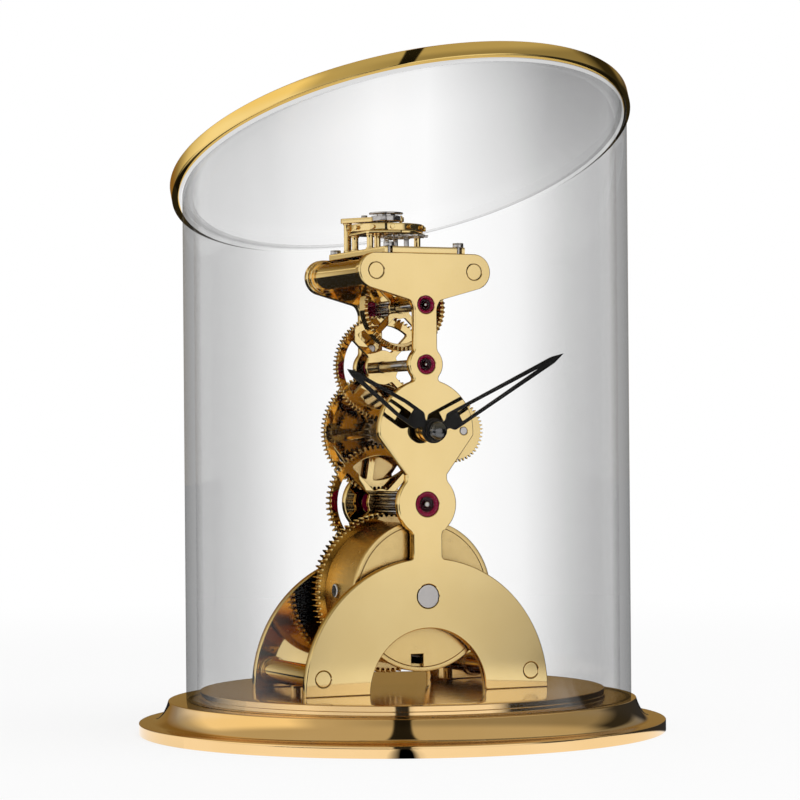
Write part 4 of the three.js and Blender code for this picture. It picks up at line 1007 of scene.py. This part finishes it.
# %% Arbors and wheels of the train
pivot, taper, spoke_wide = 1.0, 1.6, 2.2
thick_arbor, slim_arbor, stout_arbor = 1.8, 1.4, 2.2
rear_tip = [(pivot, rear_face - taper), (0.6, rear_face - 0.9), (0.55, rear_face - 0.35)]
rear_tip += [(0.35, rear_face - 0.1), (0, rear_face - 0.05)]


def pinion_arbor(node, wheel, leaves, distance, z, front, back, slim, end, tip=0.6):
    pitch = share(distance, leaves, wheel)
    profile = [(0, front_face + 0.05), (tip - 0.25, front_face + 0.1), (tip - 0.05, front_face + 0.35)]
    profile += [(tip, front_face + 0.9), (pivot, front_face + taper), (pivot, front_inner + shake)]
    profile += [(thick_arbor, front_inner + shake), (thick_arbor, front), (slim, front), (slim, end)]
    profile += [(pivot, end)] + rear_tip
    core_radius = min(slim, pitch - leaf_root * 2 * pitch / leaves - 0.05)
    loop = leaf_teeth(leaves, pitch, z, mesh_phase(wheel, leaves))
    stand_in(node, [turned(profile, (0, z), "y", 48, edge=0.12, bends=2),
                    sawn(loop, [round_loop(0, z, core_radius, 40)], front, back, 0.12)])


def crossed_wheel(node, count, pitch, bore, hub, spokes, z):
    here = Box(node)
    rim = pitch - wheel_root * 2 * pitch / count - spoke_wide
    holes = [round_loop(0, z, bore + fit, 40)] + crossings(spokes, hub, rim, spoke_wide, pi / 4, z)
    stand_in(node, [sawn(wheel_teeth(count, pitch, z), holes, here.front, here.back, 0.14)])


intermediate, centre, third = Box("intermediate_wheel"), Box("centre_wheel"), Box("third_wheel")
pinion_arbor("intermediate_pinion", 88, 12, to_intermediate, intermediate_z, front_inner + 5,
             intermediate.front, stout_arbor, intermediate.back + shake, 0.98)
crossed_wheel("intermediate_wheel", 64, share(to_centre, 64, 16), stout_arbor, 4.5, 4, intermediate_z)
crossed_wheel("centre_wheel", 80, share(to_third, 80, 10), thick_arbor, 4.5, 5, centre_z)
pinion_arbor("third_pinion", 80, 10, to_third, third_z, third.back, rear_inner - shake, slim_arbor,
             rear_inner - shake)
crossed_wheel("third_wheel", 75, share(to_contrate, 75, 10), thick_arbor, 5.6, 4, third_z)

# %% [markdown]
# The centre arbor is longer: it comes out through the front plate and carries the hands. Its pinion
# sits between the third wheel and the centre wheel.

# %% Centre arbor
nut, cannon, minute_wheel = Box("hand_nut"), Box("cannon_pinion"), Box("minute_wheel")
leaf_front, front_arbor = third.back + shake, 1.2
profile = stepped(nut.front + 1.5, (front_arbor, cannon.back), (slim_arbor, leaf_front),
                  (thick_arbor, rear_inner - shake))[:-1]
profile += [(pivot, rear_inner - shake)] + rear_tip
loop = leaf_teeth(16, share(to_centre, 16, 64), centre_z, mesh_phase(64, 16))
stand_in("centre_pinion", [
    turned(profile, (0, centre_z), "y", 48, edge=0.12, bends=2),
    sawn(loop, [round_loop(0, centre_z, thick_arbor, 40)], leaf_front, centre.front, 0.12)])

# %% [markdown]
# The contrate wheel's teeth stand out from the side of its rim, like a crown, so that it can turn
# the upright escape pinion. The crown is a ring of columns whose front follows the teeth, and a thin
# crossed disc carries it.

# %% Contrate wheel
crown = Box("contrate_wheel")
crown_radius, crown_wide, crown_teeth, tooth_deep = crown.half, 1.2, 60, 1.0
crown_inner, crown_back = crown_radius - crown_wide, crown.front + tooth_deep + 3.6
crown_form = [(-0.5, 1.0), (-0.3, 0.95), (-0.2, 0.5), (-0.1, 0.15)]
crown_form += [(0, 0), (0.1, 0.15), (0.2, 0.5), (0.3, 0.95)]


def crown_column(place, front):
    a = pi / 2 + 2 * pi * place / crown_teeth
    corners = pipe(crown_inner, crown_radius, front, crown_back)
    return [(radius * cos(a), y, contrate_z + radius * sin(a)) for radius, y in corners]


columns = [crown_column(tooth + turn_by, crown.front + tooth_deep * deep)
           for tooth in range(crown_teeth) for turn_by, deep in crown_form]
holes = [round_loop(0, contrate_z, thick_arbor + fit, 40)]
holes += crossings(4, 3.6, crown_radius - 2.4, 2.0, pi / 4, contrate_z)
disc = sawn(round_loop(0, contrate_z, crown_inner, 120), holes, crown_back - 0.2, crown_back + 1.0, 0.1)
stand_in("contrate_wheel", [wrapped(columns), disc])
pinion_arbor("contrate_pinion", 75, 10, to_contrate, contrate_z, crown_back + 4, third.back + shake,
             slim_arbor, rear_inner - shake)

# %% [markdown]
# Under the front plate lies the motion work, which turns the hour hand twelve times slower than the
# minute hand: a cannon pinion on the centre arbor, a minute wheel on its stud, and an hour wheel.

# %% Motion work
hour_wheel = Box("hour_wheel")
cannon_pipe, hour_bore, minute_bore, sheet = 1.9, 2.02, 1.32, 1.2
bore, cannon_face = front_arbor + fit, cannon.back - 2
minute_face, hour_face = minute_wheel.back - sheet, hour_wheel.back - sheet
loop = leaf_teeth(16, share(stud.x, 16, 48), centre_z)
stand_in("cannon_pinion", [
    turned(pipe(bore, cannon_pipe, cannon.front, cannon_face), (0, centre_z), "y", 48, True, 0.1, 2),
    sawn(loop, [round_loop(0, centre_z, bore, 40)], cannon_face, cannon.back, 0.1)])
loop = wheel_teeth(48, share(stud.x, 48, 16), centre_z, mesh_phase(16, 48, 0), stud.x)
leaves = leaf_teeth(12, share(stud.x, 12, 48), centre_z, 0, stud.x)
holes = [round_loop(stud.x, centre_z, minute_bore, 40)]
stand_in("minute_wheel", [sawn(loop, holes, minute_face, minute_wheel.back, 0.12),
                          sawn(leaves, holes, minute_wheel.front, minute_face, 0.1)])
profile = stepped(stud.front, (minute_stud, stud.back - 0.6), (minute_stud + 0.7, stud.back))
stand_in("minute_stud", [turned(profile, (stud.x, centre_z), "y", 48, edge=0.12)])
loop = wheel_teeth(48, share(stud.x, 48, 12), centre_z, mesh_phase(12, 48, pi))
stand_in("hour_wheel", [
    turned(pipe(hour_bore, hour_pipe, hour_wheel.front, hour_face), (0, centre_z), "y", 64, True, 0.1, 2),
    sawn(loop, [round_loop(0, centre_z, hour_bore, 40)], hour_face, hour_wheel.back, 0.12)])

# %% [markdown]
# The hands are pierced: a round hub, a short block, two bars that run together, and a leaf. They are
# sawn from thin steel and blackened. The domed nut holds the minute hand on its pipe.

# %% Hands and nut
hand_thick, hand_bar, hand_neck, hand_flare, hand_block = 0.8, 1.1, 1.4, 5.8, 9.3
slot_end, leaf_half, nut_dome = 0.08, 1.4, 1.4


def hand(node, hub, bore, length, half, shoulder, leaf_length, hours_angle):
    end = length - leaf_length
    neck = degrees(asin(hand_neck / hub))
    side = [(hub * cos(radians(neck)), hand_neck), (hand_flare - hand_neck, hand_neck), (hand_flare, half)]
    side += [(shoulder, half), (end, leaf_half), (end + leaf_length * 0.6, leaf_half * 0.8), (length, 0)]
    side = rounded(side, 1.2, steps=6)
    loop = bow(0, 0, hub, neck, 360 - neck, 40) + [(x, -y) for x, y in side[1:]] + side[-2:0:-1]
    closed = max(0, hand_block - shoulder) / (end - shoulder)
    slot_half = half - hand_bar - closed * (half - leaf_half)
    slot = [(hand_block, slot_half), (max(shoulder, hand_block + hand_bar), slot_half), (end, slot_end)]
    slot += [(x, -y) for x, y in reversed(slot)]
    loop, slot = [swung(shape, radians(90 - hours_angle), 0, centre_z) for shape in (loop, slot)]
    here = Box(node)
    front = here.front + 0.3
    ring = pipe(bore, hub - 0.3, here.front, here.back)
    stand_in(node, [
        sawn(loop, [round_loop(0, centre_z, hub - 0.4), slot], front, front + hand_thick, 0.1),
        turned(ring, (0, centre_z), "y", 64, True, 0.2)])


hand("hour_hand", 3.9, hour_pipe + fit, 34.9, 3.05, 13, 6.4, 303.25)
hand("minute_hand", 3.4, cannon_pipe + fit, 51.05, 2.95, 7, 10.6, 61.5)
dome, dome_foot = nut.half * 0.94, nut.front + nut_dome
profile = [(dome * sin(radians(a)), dome_foot - nut_dome * cos(radians(a))) for a in range(0, 91, 6)]
skirt = [profile[-1], (dome, nut.back - 0.9), (nut.half, nut.back - 0.8), (nut.half, nut.back)]
profile += rounded(skirt + [(bore, nut.back)], 0.1)[1:] + [(bore, dome_foot), (0, dome_foot)]
stand_in("hand_nut", [turned(profile, (0, centre_z), "y", 72)], black_nut)

# %% [markdown]
# The platform carries the escapement and lies across both plates. It is a flat plate with an open
# slot at each corner for a screw. A screw head is a low disc with two half rounds on it, so that the
# driver's slot stays open between them.

# %% Platform and its screws
platform = Box("platform_plate")
screw_x, slot_half, screw_shank, screw_head = 12.0, 0.87, 0.75, 1.7
front_screw, rear_screw = Box("platform_screw_front_left").y, Box("platform_screw_rear_left").y
lever, balance, escape = Box("pallet_lever"), Box("balance_staff"), Box("escape_pinion")
escape_radius, lever_room, fine_bore = 7.0, 1.3, 0.62
lever_y = escape.y + escape_radius + lever_room


def slot_points(x, y, way):
    """The open slot round a screw, walked so that it cuts into the plate's end."""
    end = platform.front if way < 0 else platform.back
    turns = [radians(180 * step / 12) for step in range(13)]
    loop = [(x - slot_half * cos(t), y - way * slot_half * sin(t)) for t in turns]
    return [(x - slot_half, end)] + loop + [(x + slot_half, end)]


def slotted_head(x, y, radius, low, high, turn_by, slot=0.45, deep=0.45):
    cut = high - deep
    parts = [turned(stepped(low, (radius, cut)), (x, y), steps=48, edge=0.08)]
    start = degrees(asin(slot / 2 / radius))
    for half in (0, 180):
        arc = bow(0, 0, radius, start + half, 180 - start + half, 24)
        parts.append(sawn(swung(arc, turn_by, x, y), [], cut, high, 0.12, "top"))
    return parts


ends = [(-platform.half, platform.front)] + slot_points(-screw_x, front_screw, -1)
ends += slot_points(screw_x, front_screw, -1)
ends += [(platform.half, platform.front), (platform.half, platform.back)]
ends += slot_points(screw_x, rear_screw, 1)[::-1] + slot_points(-screw_x, rear_screw, 1)[::-1]
ends += [(-platform.half, platform.back)]
holes = [round_loop(0, y, radius, 32) for y, radius in
         ((escape.y, 0.92), (lever_y, fine_bore), (balance.y, fine_bore))]
stand_in("platform_plate", [sawn(ends, holes, platform.foot, platform.top, 0.15, "top", 3)])
for side, way in (("left", -1), ("right", 1)):
    for end in ("front", "rear"):
        node = "platform_screw_" + end + "_" + side
        here = Box(node)
        shank = stepped(here.foot, (screw_shank, platform.top))
        parts = [turned(shank, (here.x, here.y), steps=32, edge=0.1)]
        parts += slotted_head(here.x, here.y, screw_head, platform.top, here.top, way * 0.6)
        stand_in(node, parts)

# %% [markdown]
# The escapement plate stands on four small columns with flanged feet and carries the upper pivots
# of the escape wheel and the lever. Each column ends in a low collar under the plate.

# %% Escapement plate
bridge = Box("escapement_plate")
bridge_low, margin, post_x = bridge.top - 0.9, 1.7, 10
posts = [(-post_x, -9.5), (-6.5, -7.4), (post_x, -2.2), (-post_x, 2.2)]
posts = [(x, balance.y + y) for x, y in posts]


def column(x, y, low, high, radius, foot, foot_high):
    profile = stepped(low, (foot, low + foot_high), (radius, high - 0.5), (radius + 0.25, high))
    return turned(profile, (x, y), steps=40, edge=0.1)


side_x, nose_y = post_x + margin, escape.y - margin
corners = [(-side_x, posts[0][1] - margin), (-margin, nose_y), (margin, nose_y)]
corners += [(side_x, posts[2][1] - margin), (side_x, bridge.back), (-side_x, bridge.back)]
holes = [round_loop(0, y, fine_bore, 32) for y in (escape.y, lever_y)]
holes.append(round_loop(0, balance.y, 2.52, 48))
parts = [sawn(rounded(corners, 1.2, True), holes, bridge_low, bridge.top, 0.1, "top")]
parts += [column(*post, platform.top, bridge_low, 1.05, 1.4, 0.9) for post in posts]
stand_in("escapement_plate", parts)

# %% [markdown]
# The escape wheel has fifteen club teeth, and the lever locks one at a time with its two pallets.
# Both are thin polished steel on upright arbors between the platform and the escapement plate.

# %% Escape wheel and lever
club = Box("escape_wheel")
staff, fine, leaf_core, bar, escape_teeth = 0.8, 0.5, 0.72, 0.9, 15
club_form = [(0.76, 0), (0.86, 0.24), (1, 0.5), (1, 0.64), (0.9, 0.53), (0.76, 0.42)]


def tooth_ring(form, count, start, scale, y):
    """A loop of teeth, each given by radii and by shares of the step to the next tooth."""
    rows = [(scale * radius, start + (tooth + share) * 2 * pi / count)
            for tooth in range(count) for radius, share in form]
    return [(radius * cos(a), y + radius * sin(a)) for radius, a in rows]


loop = tooth_ring(club_form, escape_teeth, 0, escape_radius, escape.y)
holes = [round_loop(0, escape.y, staff + fit, 40)]
holes += crossings(4, 1.6, escape_radius * 0.62, staff, 0, escape.y)
stand_in("escape_wheel", [sawn(loop, holes, club.foot, club.top, 0.06, "top")])
leaf_low, leaf_high = contrate_z + crown_inner - 1, platform.foot - 1
leaf_pitch = (crown_radius - crown_wide / 2) / crown_teeth * 6
loop = toothed(6, leaf_pitch, pi / 2 + pi / 6, 1.1, 0.75, 0, escape.y, 0.15)
stem = stepped(escape.foot, (fine, leaf_low), (leaf_core, leaf_high), (staff, bridge_low - shake),
               (fine, escape.top))
stand_in("escape_pinion", [
    turned(stem, (0, escape.y), steps=40, edge=0.06, bends=2),
    sawn(loop, [round_loop(0, escape.y, leaf_core, 32)], leaf_low, leaf_high, 0.06, "top")])
pallet_reach, pallet_angle = escape_radius + 0.5, radians(30)
pallet_x = pallet_reach * sin(pallet_angle)
pallet_y = escape.y + pallet_reach * cos(pallet_angle) - lever_y
fork = balance.y - lever_y - staff - bar
right = [(pallet_x, pallet_y), (pallet_x + bar, pallet_y + bar / 2), (pallet_x + bar / 2, pallet_y + 2 * bar)]
right += [(1.4 * bar, bar), (bar * 0.75, 1.6 * bar), (bar * 0.65, fork - bar), (1.2 * bar, fork)]
right += [(bar * 0.55, fork), (bar * 0.4, fork - bar)]
loop = right + mirrored(right) + [(-pallet_x + bar / 2, pallet_y + bar / 2)]
loop += [(-1.2 * bar, -bar), (1.2 * bar, -bar), (pallet_x - bar / 2, pallet_y + bar / 2)]
loop = rounded([(x, y + lever_y) for x, y in loop], 0.2, True, 3)
stem = stepped(lever.foot, (fine, platform.top + shake), (staff, bridge_low - shake), (fine, lever.top))
stand_in("pallet_lever", [
    sawn(loop, [round_loop(0, lever_y, staff, 40)], club.foot, club.top, 0.06, "top"),
    turned(stem, (0, lever_y), steps=40, edge=0.06, bends=2)])
print("lever's axis at y", round(lever_y, 3), "mm")

# %% [markdown]
# The balance is a heavy gilt rim on two arms, with timing screws round it. Each screw head is turned
# on its own and swung to its place. The staff carries the balance and the roller, and the hairspring
# is a fine strip inside the rim.

# %% Balance
rim, hair = Box("balance_wheel"), Box("hairspring")
balance_rim, screw_proud, roller, timing_screws = 1.9, 1.0, 2.4, 12
balance_radius = max(rim.half, (rim.back - rim.front) / 2) - screw_proud
rim_inner, arm_low, arm_half = balance_radius - balance_rim, rim.foot + 0.6, 1.0
ring = pipe(rim_inner, balance_radius, rim.foot, rim.top)
parts = [turned(ring, (0, balance.y), steps=128, closed=True, edge=0.2)]
tip, hub = degrees(asin(arm_half / rim_inner)), degrees(asin(arm_half / roller))
arms = []
for half in (0, 180):
    arms += bow(0, balance.y, rim_inner, half - tip, half + tip, 6)
    arms += bow(0, balance.y, roller, half + hub, half + 180 - hub, 16)
parts.append(sawn(arms, [round_loop(0, balance.y, staff + fit, 40)], arm_low, arm_low + 1, 0.08, "top"))
head = stepped(balance_radius - 0.05, (0.5, balance_radius + 0.25), (0.75, balance_radius + screw_proud))
points, faces = turned(head, (0, rim.z), "y", 32, edge=0.1)
for screw in range(timing_screws):
    places = swung([point[:2] for point in points], 2 * pi * (screw + 0.5) / timing_screws, 0, balance.y)
    parts.append(([(x, y, point[2]) for (x, y), point in zip(places, points)], faces))
stand_in("balance_wheel", parts)
cock_low = rim.top + 1.25
cock_top, roller_low = cock_low + 1.55, club.top + 0.3
stem = stepped(balance.foot, (fine, platform.top + shake), (staff, roller_low), (roller, roller_low + 0.5),
               (staff, cock_low - shake), (fine, balance.top))
stand_in("balance_staff", [turned(stem, (0, balance.y), steps=48, edge=0.08, bends=2)])
hair_inner, hair_pitch, hair_turns, hair_strip = 1.4, 0.8, 4, 0.25
loop = wound(hair_inner, hair_pitch, hair_turns, hair_strip, balance.y, 72)
stand_in("hairspring", [sawn(loop, [], hair.foot, hair.top, 0.04, "top")])

# %% [markdown]
# The cock is a bridge with one foot: a column beside the balance, an arm over it, and a round eye
# for the upper pivot. A stud at its end holds the hairspring, a screw sits in the arm, and the thin
# steel index turns on the eye to set the rate.

# %% Cock, its screw and the index
cock, cock_screw, index = Box("balance_cock"), Box("cock_screw"), Box("regulator_index")
cock_way, eye, arm_wide, inlaid = radians(125), 4.5, 2.2, 0.05
reach = balance_radius + screw_proud + 0.5 + 1.2
meet = degrees(asin(arm_wide / eye))
arm = bow(0, 0, eye, meet, 360 - meet, 48) + bow(reach, 0, arm_wide, -90, 90, 24)
arm = eased(arm, [(eye * cos(radians(meet)), side * arm_wide) for side in (1, -1)], 1.0)
arm = swung(arm, cock_way, 0, balance.y)
post = swung([(reach, 0)], cock_way, 0, balance.y)[0]
stud_at = (hair_inner + hair_pitch * hair_turns + hair_strip / 2 + fit + 0.5, balance.y)
screw_at = (cock_screw.x, cock_screw.y)
holes = [round_loop(0, balance.y, fine_bore, 32), round_loop(*screw_at, fine + fit, 32)]
lug = [(4.0, balance.y - 1)] + bow(*stud_at, 1.0, -90, 90, 12) + [(4.0, balance.y + 1)]
lug_low, lug_top = cock_low + inlaid, cock_top - inlaid
stand_in("balance_cock", [
    sawn(arm, holes, cock_low, cock_top, 0.15, "top", 3),
    column(*post, platform.top, cock_low, 1.2, 1.35, 1.35),
    sawn(lug, [], lug_low, lug_top, 0.1, "top"),
    turned(stepped(hair.foot, (0.5, lug_low)), stud_at, steps=32, edge=0.08),
    turned(stepped(lug_top, (0.5, cock.top)), stud_at, steps=32, edge=0.12)])
band = pipe(eye + 0.02, eye + 0.25, cock_low + 0.1, cock_top + 0.12)
band = turned(band, (0, balance.y), steps=96, closed=True, edge=0.06)
added("eye_ring", [band], "frame", "polished_steel")
parts = [turned(stepped(cock_low, (fine, cock_top)), screw_at, steps=32, edge=0.06)]
stand_in("cock_screw", parts + slotted_head(*screw_at, 1.0, cock_top, cock_screw.top, 0.3, 0.3, 0.3))
index_low = index.top - 0.5
profile = stepped(cock_top, (3, index_low), (5.5, index.top))
tab = rounded([(4.8, -0.75), (6.7, -0.6), (6.7, 0.6), (4.8, 0.75)], 0.3, True)
tab = swung(tab, cock_way - pi / 2, 0, balance.y)
stand_in("regulator_index", [
    turned(profile, (0, balance.y), steps=96, edge=0.12),
    sawn(tab, [], index_low + inlaid, index.top - inlaid, 0.08, "top")])

# %% [markdown]
# Behind the rear plate sits the winding work: a ratchet on the arbor's square, the click that falls
# into its saw teeth, the click's screw, and the spring that presses the click down.

# %% Winding work
ratchet, click, click_leaf = Box("ratchet_wheel"), Box("click"), Box("click_spring")
click_angle, ratchet_teeth = radians(120), 24
ratchet_form = [(9.0, 0), (7.8, 0.12), (8.35, 0.5)]
click_at = (click_screw.x, click_screw.z)
head_foot = click_screw.back - 1
loop = tooth_ring(ratchet_form, ratchet_teeth, click_angle, 1, barrel_z)
stand_in("ratchet_wheel", [sawn(loop, [square(square_half + fit)], ratchet.front, ratchet.back, 0.12)])


def on_click(points):
    return swung(points, click_angle - pi / 2, *click_at)


loop = on_click(bow(0, 0, 2.0, 50, 310, 32) + [(4.9, -0.2), (7.0, 0), (6.3, 1.3)])
hole = round_loop(*click_at, click_shank + play, 40)
stand_in("click", [sawn(loop, [hole], click.front, click.back, 0.12)])
shank = stepped(click_screw.front, (click_shank, head_foot))
parts = [turned(shank, click_at, "y", 40, edge=0.1)]
for points, faces in slotted_head(*click_at, screw_head, head_foot, click_screw.back, 0.5):
    parts.append(([(x, z, y) for x, y, z in points], faces))
stand_in("click_screw", parts)
leaf = [(-11.2, 2.6), (-11.2, 5.2), (-8.4, 5.2), (-6.3, 4.3)]
leaf += [(5.95, 2.1), (5.95, 1.6), (-7.0, 3.4), (-7.7, 2.6)]
loop = rounded(on_click(leaf), 0.5, True)
stand_in("click_spring", [sawn(loop, [], click_leaf.front, click_leaf.back, 0.1)])

# %% [markdown]
# Everything outside the clock comes last: the pale floor, the studio round it, and the camera. A
# gilt mirror needs something to mirror, so the studio that metal sees is white with a few dark
# gaps, as between a photographer's screens, a brown curtain behind the clock, and the dark stand of
# the camera. The camera itself sees plain white.

# %% Studio
def ring_stops(pairs):
    """Ramp stops from pairs of degrees round the clock, 0 being the front, and a brightness."""
    return [(0.5 + bearing / 360, level) for bearing, level in pairs]


screens = ring_stops([
    (-180, 0.25), (-168, 0.3), (-160, 0.5), (-152, 0.75), (-135, 1), (-78, 1), (-60, 0.8), (-19, 0.8),
    (-18, 1), (25, 1), (31, 0.7), (38, 0.04), (140, 0.03), (145, 0.28), (180, 0.25)])
high_screens = ring_stops([
    (-180, 0.2), (-168, 0.3), (-155, 0.5), (-140, 0.95), (-85, 1), (-70, 0.55), (-22, 0.33), (88, 0.27),
    (105, 0.03), (120, 0.03), (128, 0.22), (180, 0.2)])
curtain = ring_stops([(-180, 1), (-165, 0), (136, 0), (144, 1), (180, 1)])
finish = Finish(bpy.context.scene.world or bpy.data.worlds.new("studio"))
bpy.context.scene.world = finish.holder
way = finish.node("TexCoord", out="Generated")
up, bearing = finish.part(way, "Z"), finish.compass(way)
low_wall, high_wall, hung = [finish.ramp(bearing, stops) for stops in (screens, high_screens, curtain)]
walls = finish.mix(finish.step(up, 0.14, 0.26), low_wall, high_wall)
level = finish.mix(finish.step(up, 0.5, 0.7), walls, grey(0.5))
off_middle = finish.vector("DOT_PRODUCT", way, across, "Value")
ahead = finish.vector("DOT_PRODUCT", way, inwards, "Value")
stand = (1 - finish.step(off_middle * off_middle, 0.003, 0.006)) * (1 - finish.step(ahead, -0.1, 0.1))
brown = finish.mix(hung, grey(1), (1, 0.66, 0.22, 1))
warm = finish.mix(finish.step(up, 0.14, 0.4), grey(1), (1, 0.92, 0.68, 1))
level = finish.vector("MULTIPLY", level * (1 - stand * 0.97), brown)
level = finish.vector("MULTIPLY", level, warm)
soft_light = finish.node("Background", {"Color": grey(1), "Strength": 0.55})
white = finish.node("Background", {"Color": grey(1), "Strength": 1.0})
in_metal = finish.node("Background", {"Color": level, "Strength": 1.0})
seen = finish.blended(finish.node("LightPath", out="Is Glossy Ray"), soft_light, in_metal)
seen = finish.blended(finish.node("LightPath", out="Is Camera Ray"), seen, white)
finish.surface(seen, "OutputWorld")
print("studio with", len(screens), "stops round the clock")

# %% [markdown]
# The floor is a wide pale sheet. Its own light makes it nearly white to the camera and to metal and
# glass, and the rest is lit by the lamp, so the clock still drops a soft shadow on it. In metal it
# has dark gaps, as the screens have.

# %% Floor and lamp
near_floor = ring_stops([
    (-180, 0.02), (-150, 0.02), (-140, 1), (-27, 1), (-26.5, 0), (-21.5, 0), (-21, 1), (55, 1),
    (58, 0.03), (180, 0.02)])
far_floor = ring_stops([
    (-180, 0.02), (-150, 0.02), (-140, 0.6), (-130, 1), (-78, 1), (-75, 0.03), (-19, 0.03), (-17.5, 1),
    (25, 1), (31, 0.7), (38, 0.04), (180, 0.02)])
floor_half = 6000


def floor_finish():
    finish = new_finish("pale_floor")
    camera, gloss, through = [finish.node("LightPath", out="Is " + name + " Ray")
                              for name in ("Camera", "Glossy", "Transmission")]
    place = finish.place()
    away = finish.vector("LENGTH", place, out="Value")
    near, far = [finish.ramp(finish.compass(place), stops) for stops in (near_floor, far_floor)]
    distant = far * (0.8 + finish.step(away, 0.5, 1.8) * 0.18)
    in_gilt = finish.mix(finish.step(away, 0.22, 0.34), near, distant)
    matt = finish.node("BsdfDiffuse", {"Color": grey(0.9)})
    glow = finish.node("Emission", {"Color": finish.mix(gloss, grey(1), in_gilt), "Strength": 1.0})
    shown = (camera + through) * (0.8 + finish.step(away, 0.25, 0.8) * 0.2) + gloss
    return finish.surface(finish.blended(shown, matt, glow))


corners = [(x * floor_half, y * floor_half, 0) for x, y in ((-1, -1), (1, -1), (1, 1), (-1, 1))]
floor = mesh_piece("floor", [(corners, [[0, 1, 2, 3]])], floor_finish())


def aimed(name, data, place, way):
    """A lamp or a camera at a place, looking one way."""
    holder = bpy.data.objects.new(name, data)
    holder.location = place
    holder.rotation_euler = Vector(way).to_track_quat("-Z", "Y").to_euler()
    bpy.context.scene.collection.objects.link(holder)
    return holder


lamp = bpy.data.lights.new("overhead", "AREA")
lamp.shape = "DISK"
lamp.size = 1.2
lamp.energy = 14
lamp_place = Vector((0.3, -0.5, 1.6))
aimed("overhead", lamp, lamp_place, Vector((0, 0, 0.08)) - lamp_place).visible_glossy = False
print("floor and lamp made")

# %% [markdown]
# The photograph was taken with a long lens, level, and shifted so that the clock fills the frame.
# The camera stands to the left of the front, a little under a metre away, and leans by half a
# degree as the photograph does.

# %% Camera
camera = bpy.data.cameras.new("camera")
camera.sensor_width = 36
camera.lens = 125.42
camera.shift_y = 0.0589
holder = aimed("camera", camera, (-0.3732, -0.8102, 0.0904), (0.4183, 0.9083, 0))
holder.rotation_euler.rotate_axis("Z", -0.008)
bpy.context.scene.camera = holder
bpy.context.scene.view_settings.view_transform = "Standard"
print("camera at", tuple(holder.location))

# %% [markdown]
# Any imported node that was not made again keeps its own shape and takes the finish of its slot.

# %% Finish the rest
for node, slot in slot_of.items():
    shown = bpy.data.objects[node]
    shown.data.materials.clear()
    shown.data.materials.append(finish_of_slot[slot])
